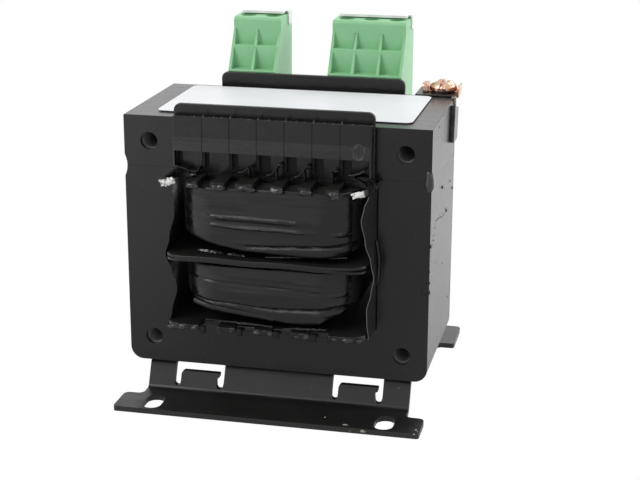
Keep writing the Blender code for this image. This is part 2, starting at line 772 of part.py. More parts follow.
def make_housing(name, poles):
    """One terminal housing: a solid section along X, with its cells, rooms and shafts cut."""
    left = poles[0] - PITCH / 2 + HOUSING_SIDE_CLEARANCE
    right = poles[-1] + PITCH / 2 - HOUSING_SIDE_CLEARANCE
    nose = BACK + HOUSING_NOSE
    front = BACK + HOUSING_WALL
    rear = BACK + HOUSING_BACK
    section = rounded(
        [
            (nose, SEAT, 0),
            (STRIP_OUTER + GAP, SEAT, 0),
            (STRIP_OUTER + GAP, HOUSING_LOW, 0),
            (rear, HOUSING_LOW, 0),
            (rear, HOUSING_HIGH, 0),
            (front, HOUSING_HIGH, 0),
            (front, CORE_HIGH + RIB_TOP, 0),
            (nose, CORE_HIGH + RIB_FOOT, 0),
        ]
    )
    housing = prisms(name, [([section], left, right)], "x", GREEN)
    rows = (
        (CORE_HIGH + RIB_FOOT + SHELF, CORE_HIGH + SHELF_RISE),
        (CORE_HIGH + SHELF_RISE + SHELF, CORE_HIGH + RIB_TOP - CELL_SINK),
    )
    pockets = []
    tails = []
    for index, x in enumerate(poles):
        cell_left = left + RIB if index == 0 else x - PITCH / 2 + RIB / 2
        cell_right = right - RIB if index == len(poles) - 1 else x + PITCH / 2 - RIB / 2
        for low, high in rows:
            pockets.append(((cell_left, nose - SHEET, low), (cell_right, front + CELL_SINK, high)))
        room = CAGE_ROOM_WIDTH / 2
        pockets.append(
            ((x - room, CAGE_FRONT - GAP, CAGE_LOW - GAP), (x + room, rear + SHEET, CAGE_HIGH + GAP))
        )
        # The tail's way out: forwards along the cage's floor, then down through the housing
        shelf = TAIL_SHELF - GAP
        way = rounded(
            [
                (TAIL_FRONT - GAP, HOUSING_LOW - SHEET, 0),
                (TAIL_FRONT + TAIL + GAP, HOUSING_LOW - SHEET, 0),
                (TAIL_FRONT + TAIL + GAP, shelf, 0),
                (CAGE_FRONT + GAP, shelf, 0),
                (CAGE_FRONT + GAP, TAIL_SHELF + TAIL + GAP, 0),
                (TAIL_FRONT - GAP, TAIL_SHELF + TAIL + GAP, 0),
            ]
        )
        tails.append(([way], x - TAIL_WIDTH / 2 - GAP, x + TAIL_WIDTH / 2 + GAP))
    combine(housing, boxes(name + "_pockets", pockets, GREEN))
    combine(housing, prisms(name + "_tail_ways", tails, "x", GREEN))
    shafts = [(x, SCREW_Y) for x in poles]
    combine(housing, rods(name + "_shafts", shafts, SHAFT, CAGE_HIGH, HOUSING_HIGH + SHEET, GREEN, 20))
    return left, right


def make_terminals():
    """The two housings with the metal parts of each pole, and their marker strips."""
    inputs, outputs = pole_places()
    spots = [(x, SCREW_Y) for x in inputs + outputs]
    holes = rods("cage_holes", spots, CAGE_HOLE, CAGE_HIGH - 2 * CAGE_WALL, CAGE_HIGH + CAGE_WALL, STEEL)
    count = 0
    for name, poles in (("input", inputs), ("output", outputs)):
        left, right = make_housing(name + "_housing", poles)
        rear = BACK + HOUSING_BACK - RIB / 2
        low = HOUSING_HIGH + GAP
        boxes(name + "_marker", [((left + RIB, rear - MARKER_DEPTH, low), (right - RIB, rear, low + MARKER))], PAPER)
        for x in poles:
            count += 1
            outer = rectangle(x - CAGE_WIDTH / 2, CAGE_LOW, x + CAGE_WIDTH / 2, CAGE_HIGH, CAGE_CORNER, 2)
            inside = CAGE_WIDTH / 2 - CAGE_WALL
            inner = rectangle(x - inside, CAGE_LOW + CAGE_WALL, x + inside, CAGE_HIGH - CAGE_WALL)
            cage = prisms(f"clamp_cage_{count}", [([outer, inner], CAGE_FRONT, CAGE_BACK)], "y", TINNED)
            combine(cage, holes)
            tail = rounded(
                [
                    (TAIL_FRONT, TAIL_LOW, 0),
                    (TAIL_FRONT + TAIL, TAIL_LOW, 0),
                    (TAIL_FRONT + TAIL, TAIL_SHELF, 0),
                    (TAIL_FRONT + TAIL_REACH, TAIL_SHELF, 0),
                    (TAIL_FRONT + TAIL_REACH, TAIL_SHELF + TAIL, 0),
                    (TAIL_FRONT, TAIL_SHELF + TAIL, 0),
                ]
            )
            span = (x - TAIL_WIDTH / 2, x + TAIL_WIDTH / 2)
            prisms(f"contact_tail_{count}", [([tail], *span)], "x", TINNED)
            screw(
                f"terminal_screw_{count}",
                (x, SCREW_Y, HEAD_LOW),
                SCREW_HEAD,
                SCREW_HEAD_HEIGHT,
                SCREW_SHANK,
                SCREW_SHANK_LENGTH,
                DRIVER_SLOT,
                STEEL,
            )
            behind = TAIL_FRONT + TAIL + GAP + LEAD / 2
            start = notch_at(x)
            route = [
                (start, LEAD_Y, FLANGE_LOWS[2]),
                (start, LEAD_Y, FLANGE_LOWS[2] + FLANGE),
                ((start + x) / 2, (LEAD_Y + behind) / 2, FLANGE_LOWS[2] + FLANGE + LEAD),
                (x, behind, HOUSING_LOW - 2 * LEAD),
                (x, behind, HOUSING_LOW - LEAD),
            ]
            wire(f"lead_wire_{count}", route, LEAD, COPPER)


def make_sleeves():
    """The ends of the two sleeves that lie round the front corners of the upper flange."""
    along = SLEEVE_LENGTH / 2 / math.sqrt(2)
    away = (FLANGE_CORNER + GAP + SLEEVE / 2) / math.sqrt(2)
    y = -FLANGE_Y + FLANGE_CORNER - away
    z = FLANGE_LOWS[2] + FLANGE / 2
    for side, name in ((-1, "sleeve_left"), (1, "sleeve_right")):
        x = side * (FLANGE_X - FLANGE_CORNER + away)
        route = [(x - along, y - side * along, z), (x, y, z), (x + along, y + side * along, z)]
        wire(name, route, SLEEVE, SLEEVING, 2)


def make_earth():
    """The earth terminal: bracket, clamp, screw and nut."""
    leg_low = CORE_HIGH - EARTH_LEG_DROP
    section = rounded(
        [
            (EARTH_LEFT, EARTH_LOW, 0),
            (EARTH_INNER, EARTH_LOW, EARTH_BEND),
            (EARTH_INNER, leg_low - SHEET, 0),
            (EARTH_OUTER, leg_low - SHEET, 0),
            (EARTH_OUTER, EARTH_TOP, EARTH_BEND + EARTH_SHEET),
            (EARTH_LEFT, EARTH_TOP, 0),
        ],
        steps=5,
    )
    ends = (BACK + EARTH_LEG_FOOT[0] - SHEET, BACK + EARTH_BACK + SHEET)
    bracket = prisms("earth_bracket", [([section], *ends)], "y", LACQUER)
    bend_low = EARTH_LOW - EARTH_SHEET
    side = rounded(
        [
            (BACK + EARTH_LEG_FOOT[0], leg_low, EARTH_LEG_CHAMFER),
            (BACK + EARTH_LEG_FOOT[1] - EARTH_LEG_CHAMFER, leg_low, 0),
            (BACK + EARTH_LEG_FOOT[1], leg_low + EARTH_LEG_CHAMFER, 0),
            (BACK + EARTH_LEG_TOP[1], bend_low, 0),
            (BACK + EARTH_BACK, bend_low, 0),
            (BACK + EARTH_BACK, EARTH_TOP + SHEET, 0),
            (BACK + EARTH_LEG_TOP[0], EARTH_TOP + SHEET, 0),
            (BACK + EARTH_LEG_TOP[0], bend_low, 0),
        ],
        steps=3,
    )
    beyond = EARTH_OUTER + SHEET
    profile = prisms("earth_profile", [([side], EARTH_LEFT - SHEET, beyond)], "x", LACQUER)
    combine(bracket, profile, "INTERSECT")
    trims = [
        (
            (CORE_SIDE, BACK + EARTH_LIP_BACK, bend_low - SHEET),
            (beyond, BACK + EARTH_BACK + SHEET, EARTH_TOP + SHEET),
        ),
        (
            (EARTH_LEFT - SHEET, BACK + EARTH_LEG_TOP[0] - SHEET, bend_low - SHEET),
            (CORE_SIDE - EARTH_BEND, EARTH_FRONT, EARTH_TOP + SHEET),
        ),
    ]
    combine(bracket, boxes("earth_trims", trims, LACQUER))
    spot = [(EARTH_SCREW_X, EARTH_SCREW_Y)]
    nut_high = EARTH_LOW - GAP
    nut_low = nut_high - EARTH_NUT_HEIGHT
    hole = rods("earth_hole", spot, EARTH_HOLE, nut_low - SHEET, EARTH_HEAD_LOW + SHEET, STEEL, 20)
    combine(bracket, hole)

    low = CLAMP_LOW
    left = EARTH_SCREW_X - CLAMP_WIDTH / 2
    right = EARTH_SCREW_X + CLAMP_WIDTH / 2
    ear = low + CLAMP_EAR
    saddle = rounded(
        [
            (left, low, CLAMP_SHEET),
            (right, low, CLAMP_SHEET),
            (right, ear, 0),
            (right - CLAMP_SHEET, ear, 0),
            (right - CLAMP_SHEET, low + CLAMP_SHEET, 0),
            (left + CLAMP_SHEET, low + CLAMP_SHEET, 0),
            (left + CLAMP_SHEET, ear, 0),
            (left, ear, 0),
        ],
        steps=3,
    )
    span = (EARTH_SCREW_Y - CLAMP_DEPTH / 2, EARTH_SCREW_Y + CLAMP_DEPTH / 2)
    clamp = prisms("earth_clamp", [([saddle], *span)], "y", COPPERED)
    combine(clamp, hole)
    screw(
        "earth_screw",
        (EARTH_SCREW_X, EARTH_SCREW_Y, EARTH_HEAD_LOW),
        EARTH_HEAD,
        EARTH_HEAD_HEIGHT,
        EARTH_SHANK,
        EARTH_SHANK_LENGTH,
        EARTH_DRIVER_SLOT,
        COPPERED,
    )
    half = EARTH_NUT / 2
    nut = boxes(
        "earth_nut",
        [
            (
                (EARTH_SCREW_X - half, EARTH_SCREW_Y - half, nut_low),
                (EARTH_SCREW_X + half, EARTH_SCREW_Y + half, nut_high),
            )
        ],
        STEEL,
    )
    combine(nut, hole)


make_core()
make_foot()
make_former()
make_coils()
make_label()
make_terminals()
make_sleeves()
make_earth()
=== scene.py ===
# %% [markdown]
# A mains transformer, dressed for a picture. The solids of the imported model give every
# size and place. This lesson first measures them, then gives each piece of the real
# object its own fine shape and its own finish.

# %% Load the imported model
import json
import math

import bmesh
import bpy
from mathutils import Matrix, Vector, noise

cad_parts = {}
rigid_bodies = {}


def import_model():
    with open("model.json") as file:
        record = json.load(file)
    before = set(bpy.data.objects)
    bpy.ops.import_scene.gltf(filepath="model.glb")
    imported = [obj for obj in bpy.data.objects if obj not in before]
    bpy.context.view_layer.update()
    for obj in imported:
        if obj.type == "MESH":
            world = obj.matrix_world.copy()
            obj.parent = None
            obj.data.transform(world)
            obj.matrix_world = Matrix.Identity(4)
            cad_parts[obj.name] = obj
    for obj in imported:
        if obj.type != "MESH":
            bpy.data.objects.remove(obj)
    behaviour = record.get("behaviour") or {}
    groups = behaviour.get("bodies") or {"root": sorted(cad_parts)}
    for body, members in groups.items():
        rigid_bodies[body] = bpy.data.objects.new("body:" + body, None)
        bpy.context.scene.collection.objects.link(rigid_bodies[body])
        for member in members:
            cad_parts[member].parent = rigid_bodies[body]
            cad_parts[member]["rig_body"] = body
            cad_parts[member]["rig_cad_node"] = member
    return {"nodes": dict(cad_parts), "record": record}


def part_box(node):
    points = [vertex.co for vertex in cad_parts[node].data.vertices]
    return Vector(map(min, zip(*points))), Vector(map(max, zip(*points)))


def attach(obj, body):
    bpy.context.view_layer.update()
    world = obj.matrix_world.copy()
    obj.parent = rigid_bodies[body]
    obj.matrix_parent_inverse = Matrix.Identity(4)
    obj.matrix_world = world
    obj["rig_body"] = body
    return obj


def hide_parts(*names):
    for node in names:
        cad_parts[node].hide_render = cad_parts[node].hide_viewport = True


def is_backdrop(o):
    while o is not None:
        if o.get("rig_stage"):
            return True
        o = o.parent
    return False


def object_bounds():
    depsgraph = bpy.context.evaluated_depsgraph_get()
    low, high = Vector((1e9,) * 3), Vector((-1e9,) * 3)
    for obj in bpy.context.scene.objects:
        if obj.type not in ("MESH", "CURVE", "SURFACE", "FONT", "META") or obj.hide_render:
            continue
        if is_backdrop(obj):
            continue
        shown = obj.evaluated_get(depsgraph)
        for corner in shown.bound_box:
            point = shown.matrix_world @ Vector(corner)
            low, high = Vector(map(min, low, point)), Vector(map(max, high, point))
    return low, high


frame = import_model()
cad_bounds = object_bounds()
nodes = frame["nodes"]
MM = 0.001
print("the model's box in mm:", [round(side / MM, 1) for side in cad_bounds[1] - cad_bounds[0]])

# %% [markdown]
# All shapes below are written in millimetres from one corner that is easy to picture: the
# middle of the core's front face, at the height of the core's underside. X runs right, Y
# to the back and Z up. The helper turns such a place into metres in the model's frame.

# %% Measure the core and set the working origin
core_low, core_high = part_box("core_e_stack")
CORE_TOP = (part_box("core_i_stack")[1].z - core_low.z) / MM
CORE_SIDE = (core_high.x - core_low.x) / MM / 2
CORE_DEPTH = (core_high.y - core_low.y) / MM
ORIGIN = Vector(((core_low.x + core_high.x) / 2, core_low.y, core_low.z))


def at(x, y, z):
    """A place in millimetres from the core's front foot, as a point of the model's frame."""
    return ORIGIN + Vector((x, y, z)) * MM


def node_box(name):
    """The lowest and highest corner of a solid, in the same millimetres."""
    low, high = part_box(name)
    return (low - ORIGIN) / MM, (high - ORIGIN) / MM


print("core", round(2 * CORE_SIDE, 1), "wide,", round(CORE_DEPTH, 1), "deep,", round(CORE_TOP, 1), "high")

# %% [markdown]
# The camera stands where the photographer's stood: a little to the right, looking down by
# seventeen degrees through a long lens. Its three axes are worked out from those angles.

# %% Place the camera
AZIMUTH = math.radians(12.544)
ELEVATION = math.radians(16.997)
ROLL = math.radians(0.202)
SENSOR = 36.0
LENS = 85.56
CAMERA_PLACE = Vector((0.096193, -0.406305, 0.167139))

ahead = Vector((
    -math.sin(AZIMUTH) * math.cos(ELEVATION),
    math.cos(AZIMUTH) * math.cos(ELEVATION),
    -math.sin(ELEVATION),
))
level = Vector((math.cos(AZIMUTH), math.sin(AZIMUTH), 0))
upward = level.cross(ahead)
right = level * math.cos(ROLL) + upward * math.sin(ROLL)
upward = upward * math.cos(ROLL) - level * math.sin(ROLL)
camera = bpy.data.objects.new("camera", bpy.data.cameras.new("camera"))
bpy.context.scene.collection.objects.link(camera)
camera.matrix_world = Matrix.Translation(CAMERA_PLACE) @ Matrix((right, upward, -ahead)).transposed().to_4x4()
camera.data.sensor_width = SENSOR
camera.data.lens = LENS
bpy.context.scene.camera = camera
bpy.context.scene.view_settings.view_transform = "Standard"
print("camera", round(CAMERA_PLACE.length, 3), "m from the origin")

# %% [markdown]
# Black lacquer shows its surroundings more than its own colour, so the surroundings are
# made as in a product studio: white all round. What the camera and mirrors see of them is
# plain white, which is set by the kind of ray, while the light on the object is softer.

# %% Build the white surroundings
WORLD_LEVEL = 0.62


def seen_directly(tree):
    """A node output that is 1 for camera, mirror and clear rays, and 0 for soft light."""
    path = tree.nodes.new("ShaderNodeLightPath")
    total = path.outputs["Is Camera Ray"]
    for kind in ("Is Glossy Ray", "Is Transmission Ray"):
        largest = tree.nodes.new("ShaderNodeMath")
        largest.operation = "MAXIMUM"
        tree.links.new(total, largest.inputs[0])
        tree.links.new(path.outputs[kind], largest.inputs[1])
        total = largest.outputs[0]
    return total


world = bpy.data.worlds.new("studio")
bpy.context.scene.world = world
world.use_nodes = True
backdrop = world.node_tree.nodes["Background"]
backdrop.inputs["Color"].default_value = (1, 1, 1, 1)
level_of_light = world.node_tree.nodes.new("ShaderNodeMapRange")
level_of_light.inputs["To Min"].default_value = WORLD_LEVEL
level_of_light.inputs["To Max"].default_value = 1.0
world.node_tree.links.new(seen_directly(world.node_tree), level_of_light.inputs["Value"])
world.node_tree.links.new(level_of_light.outputs[0], backdrop.inputs["Strength"])
print("the world lights the object at a level of", WORLD_LEVEL)

# %% [markdown]
# The floor is pale, and plain white to the camera. In mirrors its near right part is less
# bright and its far left foreground brighter, so that the front of the core falls off from
# left to right as it does in the photograph.

# %% Lay the floor
FLOOR_SIZE = 3.0
FLOOR_COLOUR = 0.70
FLOOR_GLOW = 0.47
DIM_NEAR = (-0.11, 0.05)
DIM_RIGHT = (-0.09, -0.02)
BRIGHT_LEFT = (-0.18, -0.09)
BRIGHT_NEAR = (-0.28, -0.18)
bpy.ops.object.select_all(action="DESELECT")
bpy.ops.mesh.primitive_plane_add(size=FLOOR_SIZE, location=(0, 0, 0))
floor = bpy.context.object
floor.name = "floor"
paper = bpy.data.materials.new("studio_floor")
paper.use_nodes = True
paper_shader = paper.node_tree.nodes["Principled BSDF"]
paper_shader.inputs["Base Color"].default_value = (FLOOR_COLOUR, FLOOR_COLOUR, FLOOR_COLOUR, 1)
paper_shader.inputs["Roughness"].default_value = 0.9
paper_shader.inputs["Emission Color"].default_value = (1, 1, 1, 1)


def paper_node(kind, operation, *values):
    """One maths or range node of the floor, fed with numbers or with other outputs."""
    node = paper.node_tree.nodes.new(kind)
    if operation:
        node.operation = operation
    for socket, value in zip(node.inputs, values):
        if isinstance(value, bpy.types.NodeSocket):
            paper.node_tree.links.new(value, socket)
        else:
            socket.default_value = value
    return node.outputs[0]


path = paper.node_tree.nodes.new("ShaderNodeLightPath").outputs
whereabouts = paper.node_tree.nodes.new("ShaderNodeTexCoord")
spot = paper.node_tree.nodes.new("ShaderNodeSeparateXYZ")
paper.node_tree.links.new(whereabouts.outputs["Object"], spot.inputs[0])
near = paper_node("ShaderNodeMapRange", None, spot.outputs["Y"], *DIM_NEAR, 1, 0)
rightward = paper_node("ShaderNodeMapRange", None, spot.outputs["X"], *DIM_RIGHT, 0, 1)
dimmed = paper_node("ShaderNodeMath", "MULTIPLY", near, rightward)
far_left = paper_node("ShaderNodeMapRange", None, spot.outputs["X"], *BRIGHT_LEFT, 1, 0)
far_ahead = paper_node("ShaderNodeMapRange", None, spot.outputs["Y"], *BRIGHT_NEAR, 1, 0)
brighter = paper_node("ShaderNodeMath", "MULTIPLY", far_left, far_ahead)
shown = paper_node("ShaderNodeMath", "SUBTRACT", paper_node("ShaderNodeMath", "ADD", brighter, 1), dimmed)
mirrored_glow = paper_node("ShaderNodeMath", "MULTIPLY", path["Is Glossy Ray"], shown)
glow = paper_node("ShaderNodeMath", "MULTIPLY", mirrored_glow, FLOOR_GLOW)
paper.node_tree.links.new(glow, paper_shader.inputs["Emission Strength"])
white = paper.node_tree.nodes.new("ShaderNodeEmission")
chooser = paper.node_tree.nodes.new("ShaderNodeMixShader")
seen = paper_node("ShaderNodeMath", "MAXIMUM", path["Is Camera Ray"], path["Is Transmission Ray"])
paper.node_tree.links.new(seen, chooser.inputs["Fac"])
paper.node_tree.links.new(paper_shader.outputs["BSDF"], chooser.inputs[1])
paper.node_tree.links.new(white.outputs["Emission"], chooser.inputs[2])
surface = paper.node_tree.nodes["Material Output"].inputs["Surface"]
paper.node_tree.links.new(chooser.outputs["Shader"], surface)
floor.data.materials.append(paper)
floor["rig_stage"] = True
print("the floor has", len(paper.node_tree.nodes), "nodes")

# %% [markdown]
# Three soft lamps give the faces their difference: a key from the front left, one from
# behind for the tops, and a weaker one for the right side.

# %% Hang the lamps
LAMP_AIM = Vector((0, 0, 0.05))


def add_lamp(name, place, size, watts):
    """A square soft lamp, aimed at the middle of the object."""
    data = bpy.data.lights.new(name, "AREA")
    data.shape = "SQUARE"
    data.size = size
    data.energy = watts
    lamp = bpy.data.objects.new(name, data)
    bpy.context.scene.collection.objects.link(lamp)
    lamp.location = place
    lamp.rotation_euler = (LAMP_AIM - Vector(place)).to_track_quat("-Z", "Y").to_euler()


add_lamp("key_lamp", (-0.55, -0.55, 0.75), 0.5, 4.5)
add_lamp("back_lamp", (0.35, 0.7, 0.8), 0.5, 3.6)
add_lamp("right_lamp", (0.8, 0.1, 0.4), 0.4, 2.25)
print("studio:", len(bpy.data.lights), "lamps")

# %% [markdown]
# A finish is a shader plus the small unevenness that every real surface has. It starts with
# plain values. Patterns read the object's own coordinates, which are metres here, so a
# pattern's scale is in waves per metre.

# %% Write the helpers that start a finish
def new_finish(name, colour, roughness, metallic=0.0, coat=0.0, specular=0.5):
    """A material with its plain values set on the shader."""
    material = bpy.data.materials.new(name)
    material.use_nodes = True
    shader = material.node_tree.nodes["Principled BSDF"]
    shader.inputs["Base Color"].default_value = (*colour, 1)
    shader.inputs["Roughness"].default_value = roughness
    shader.inputs["Metallic"].default_value = metallic
    shader.inputs["Coat Weight"].default_value = coat
    shader.inputs["Coat Roughness"].default_value = 0.15
    shader.inputs["Specular IOR Level"].default_value = specular
    return material


def add_node(material, kind, settings=None, **inputs):
    """One more node, with some settings and unlinked values."""
    node = material.node_tree.nodes.new(kind)
    for key, value in (settings or {}).items():
        setattr(node, key, value)
    for key, value in inputs.items():
        node.inputs[key.replace("_", " ")].default_value = value
    return node


def noise_of(material, waves, detail=3.0, stretch=(1, 1, 1), roughness=0.55):
    """Noise on the object's own coordinates, from 0 to 1. A pattern below lists its arguments."""
    tree = material.node_tree
    place = add_node(material, "ShaderNodeTexCoord")
    mapping = add_node(material, "ShaderNodeMapping")
    mapping.inputs["Scale"].default_value = stretch
    pattern = add_node(material, "ShaderNodeTexNoise", None, Scale=waves, Detail=detail, Roughness=roughness)
    tree.links.new(place.outputs["Object"], mapping.inputs["Vector"])
    tree.links.new(mapping.outputs[0], pattern.inputs["Vector"])
    return pattern.outputs["Fac"]


def between(material, value, low, high, to_low, to_high):
    """The value moved from one range to another, and held inside it."""
    span = add_node(material, "ShaderNodeMapRange")
    for key, number in (("From Min", low), ("From Max", high), ("To Min", to_low), ("To Max", to_high)):
        span.inputs[key].default_value = number
    material.node_tree.links.new(value, span.inputs["Value"])
    return span.outputs[0]


print("a finish starts with new_finish")

# %% [markdown]
# A pattern then changes the roughness, mixes in a colour or stands out as a fine relief.
# Each can be used more than once on a finish, and lies over what is there.

# %% Write the helpers that add patterns
def vary_roughness(material, pattern, low, high):
    """The middle of a noise pattern spread over a range of roughness."""
    spread = between(material, noise_of(material, *pattern), 0.35, 0.65, low, high)
    shader = material.node_tree.nodes["Principled BSDF"]
    material.node_tree.links.new(spread, shader.inputs["Roughness"])


def mix_colour(material, pattern, other, low=0.35, high=0.65):
    """Where the pattern is high, the other colour lies over what the base colour has so far."""
    value = noise_of(material, *pattern)
    tree = material.node_tree
    base = tree.nodes["Principled BSDF"].inputs["Base Color"]
    mix = add_node(material, "ShaderNodeMix", {"data_type": "RGBA"})
    if base.links:
        tree.links.new(base.links[0].from_socket, mix.inputs["A"])
    else:
        mix.inputs["A"].default_value = base.default_value
    mix.inputs["B"].default_value = (*other, 1)
    tree.links.new(between(material, value, low, high, 0, 1), mix.inputs["Factor"])
    tree.links.new(mix.outputs["Result"], base)


def add_bump(material, pattern, height_mm, strength=1.0):
    """The pattern as a small relief, on top of any relief so far."""
    value = noise_of(material, *pattern)
    tree = material.node_tree
    shader = tree.nodes["Principled BSDF"]
    bump = add_node(material, "ShaderNodeBump", None, Strength=strength, Distance=height_mm * MM)
    tree.links.new(value, bump.inputs["Height"])
    if shader.inputs["Normal"].links:
        tree.links.new(shader.inputs["Normal"].links[0].from_socket, bump.inputs["Normal"])
    tree.links.new(bump.outputs[0], shader.inputs["Normal"])


print("patterns: vary_roughness, mix_colour and add_bump")

# %% [markdown]
# The core is dipped in black lacquer. It is smooth and glossy with a slight orange peel,
# some dust under the skin and places where it ran. Tape and film are shiny plastic, the
# former is a satin moulding, and the foot has a drier stoved paint.

# %% Mix the dark finishes
lacquer = new_finish("core_lacquer", (0.0036, 0.0036, 0.0041), 0.2, specular=0.34)
add_bump(lacquer, (450, 2), 0.012, 0.5)
add_bump(lacquer, (2600, 2), 0.004, 0.5)
vary_roughness(lacquer, (90, 4), 0.16, 0.28)
mix_colour(lacquer, (1300, 2), (0.022, 0.022, 0.024), 0.67, 0.74)

# Painted light: the holes' walls are lighter than the lacquer, and much lighter deep inside
painted_light_hole_front = new_finish("painted_light_in_holes_front", (0.030, 0.029, 0.029), 0.75, specular=0.12)
add_bump(painted_light_hole_front, (1800, 3), 0.03, 0.7)
painted_light_hole_deep = new_finish("painted_light_in_holes_deep", (0.34, 0.33, 0.33), 0.8, specular=0.1)
add_bump(painted_light_hole_deep, (1800, 3), 0.03, 0.7)

weld_lacquer = new_finish("weld_lacquer", (0.022, 0.022, 0.022), 0.26, specular=0.55)
add_bump(weld_lacquer, (1500, 4), 0.06, 0.8)

moulding = new_finish("former_moulding", (0.0044, 0.0044, 0.0041), 0.28, specular=0.31)
add_bump(moulding, (3000, 2), 0.003, 0.4)
add_bump(moulding, (230, 3), 0.05, 0.35)
vary_roughness(moulding, (350, 4), 0.22, 0.34)

tape_film = new_finish("tape_film", (0.0046, 0.0048, 0.0053), 0.23, specular=0.33)
add_bump(tape_film, (500, 3, (0.15, 0.15, 1.6)), 0.03, 0.5)
vary_roughness(tape_film, (140, 4, (0.4, 0.4, 3.0)), 0.2, 0.4)

# Painted light: a lighter copy of the tape for the windings' sides and tops, which lie in shade
tape_flank_painted_light = new_finish("painted_light_of_tape_flanks", (0.022, 0.022, 0.021), 0.4, specular=0.4)
add_bump(tape_flank_painted_light, (140, 3), 0.02, 0.5)
# Painted light and shade: one film, in a lighter copy for the right side and a darker copy for the left
film = new_finish("right_film_painted_light", (0.016, 0.016, 0.0155), 0.2, specular=0.42)
shaded_left_film = new_finish("left_film_painted_shade", (0.0110, 0.0110, 0.0095), 0.3, specular=0.35)
add_bump(shaded_left_film, (200, 3), 0.04, 0.4)
# Painted highlight: pale grey for the front edges of the right film and of the bent strip
film_front_highlight = new_finish("painted_highlight_on_film_fronts", (0.11, 0.11, 0.105), 0.35)
add_bump(film_front_highlight, (900, 2), 0.01, 0.5)
add_bump(film, (200, 3), 0.04, 0.4)

resin = new_finish("cast_resin", (0.012, 0.012, 0.011), 0.16, coat=0.15, specular=0.45)
add_bump(resin, (600, 3), 0.08, 0.6)

foot_paint = new_finish("foot_paint", (0.010, 0.0098, 0.0094), 0.36, specular=0.42)
add_bump(foot_paint, (1700, 3), 0.02, 0.5)
vary_roughness(foot_paint, (120, 4), 0.28, 0.46)
mix_colour(foot_paint, (700, 2), (0.07, 0.065, 0.055), 0.72, 0.76)

# %% [markdown]
# Some dark places have their own finish: sheet edges, a painted sheen on the core's top, pale
# grey for wear and painted light, the rubbed part of a panel, and matt painted shade.

# %% Mix the finishes of sheet edges, painted sheen, wear, painted light and shade
sheet_edges = new_finish("sheet_edges", (0.0080, 0.0080, 0.0088), 0.3, specular=0.56)
# Painted sheen: the core's top is a much lighter grey than the lacquer, with darker specks
core_top_sheen_and_specks = new_finish("core_top_sheen_and_specks", (0.056, 0.056, 0.058), 0.24, specular=0.85)
add_bump(core_top_sheen_and_specks, (60, 3), 0.05, 0.3)
mix_colour(core_top_sheen_and_specks, (1300, 2), (0.02, 0.02, 0.022), 0.6, 0.7)
add_bump(sheet_edges, (60, 3), 0.05, 0.3)
mix_colour(sheet_edges, (1300, 2), (0.022, 0.022, 0.024), 0.67, 0.74)

# Wear and painted light: pale grey for real scratches, a painted highlight on the strip's top edge, and a
# paler tab front
pale_wear_and_light = new_finish("grey_for_wear_and_painted_highlight", (0.045, 0.045, 0.044), 0.4, specular=0.5)
add_bump(pale_wear_and_light, (1100, 3), 0.05, 0.8)
mix_colour(pale_wear_and_light, (600, 2), (0.012, 0.012, 0.012), 0.45, 0.6)

rubbed = new_finish("rubbed_moulding", (0.0090, 0.0090, 0.0086), 0.26, specular=0.38)
add_bump(rubbed, (330, 3, (0.5, 1.0, 1.5)), 0.22, 0.9)
add_bump(rubbed, (1800, 2), 0.008, 0.6)

# Painted shade: a matt, slightly lighter copy of the moulding for flange tops, nibs, rib edges and pads in
# shade
painted_shade_moulding = new_finish("moulding_painted_shade", (0.0070, 0.0070, 0.0064), 0.6, specular=0.2)
add_bump(painted_shade_moulding, (900, 2), 0.02, 0.5)
print("dark finishes: lacquer, weld, moulding, tape, film, resin and foot paint")

# %% [markdown]
# The pale and bright finishes: the label is an even white film with the faintest mottling,
# and the terminal housings are green polyamide. Screws are zinc plated, cages tinned, and
# the earth clamp is copper plated steel.

# %% Mix the pale and bright finishes
label_film = new_finish("label_film", (0.765, 0.775, 0.80), 0.42, specular=0.4)
add_bump(label_film, (500, 3), 0.01, 0.4)
mix_colour(label_film, (60, 3), (0.73, 0.74, 0.765))

marker_film = new_finish("marker_card", (0.86, 0.87, 0.86), 0.55, specular=0.4)
add_bump(marker_film, (1200, 3), 0.01, 0.5)

green = new_finish("terminal_green", (0.268, 0.562, 0.304), 0.4, specular=0.4)
green.node_tree.nodes["Principled BSDF"].inputs["Subsurface Weight"].default_value = 0.08
green.node_tree.nodes["Principled BSDF"].inputs["Subsurface Radius"].default_value = (0.002, 0.003, 0.002)
add_bump(green, (2500, 3), 0.008, 0.5)
mix_colour(green, (220, 4), (0.245, 0.535, 0.280))

zinc = new_finish("zinc_plate", (0.60, 0.60, 0.59), 0.3, 1.0)
add_bump(zinc, (3000, 3), 0.006, 0.6)
vary_roughness(zinc, (600, 4), 0.22, 0.42)

tin = new_finish("tin_plate", (0.70, 0.68, 0.63), 0.34, 1.0)
add_bump(tin, (1800, 3), 0.008, 0.6)
vary_roughness(tin, (500, 4), 0.26, 0.48)

# Painted sheen: a lighter copy of the foot's paint for the top of its rear end, with dark specks
rear_foot_painted_sheen = new_finish("rear_foot_sheen_and_specks", (0.030, 0.030, 0.031), 0.3, specular=0.6)
mix_colour(rear_foot_painted_sheen, (700, 2), (0.004, 0.004, 0.004), 0.6, 0.66)
# Real paint chips on the foot, and a painted reflection on the earth bracket's neck
chips_and_neck_reflection = new_finish("paint_chips_and_painted_neck_reflection", (0.34, 0.32, 0.26), 0.6, specular=0.3)
add_bump(chips_and_neck_reflection, (1500, 3), 0.04, 0.6)

copper_plate = new_finish("copper_plate", (0.66, 0.44, 0.33), 0.24, metallic=1.0)
mix_colour(copper_plate, (500, 2), (0.30, 0.17, 0.12), 0.5, 0.7)
add_bump(copper_plate, (900, 3), 0.02, 0.5)
vary_roughness(copper_plate, (800, 4), 0.16, 0.4)
mix_colour(copper_plate, (500, 4), (0.58, 0.36, 0.25))

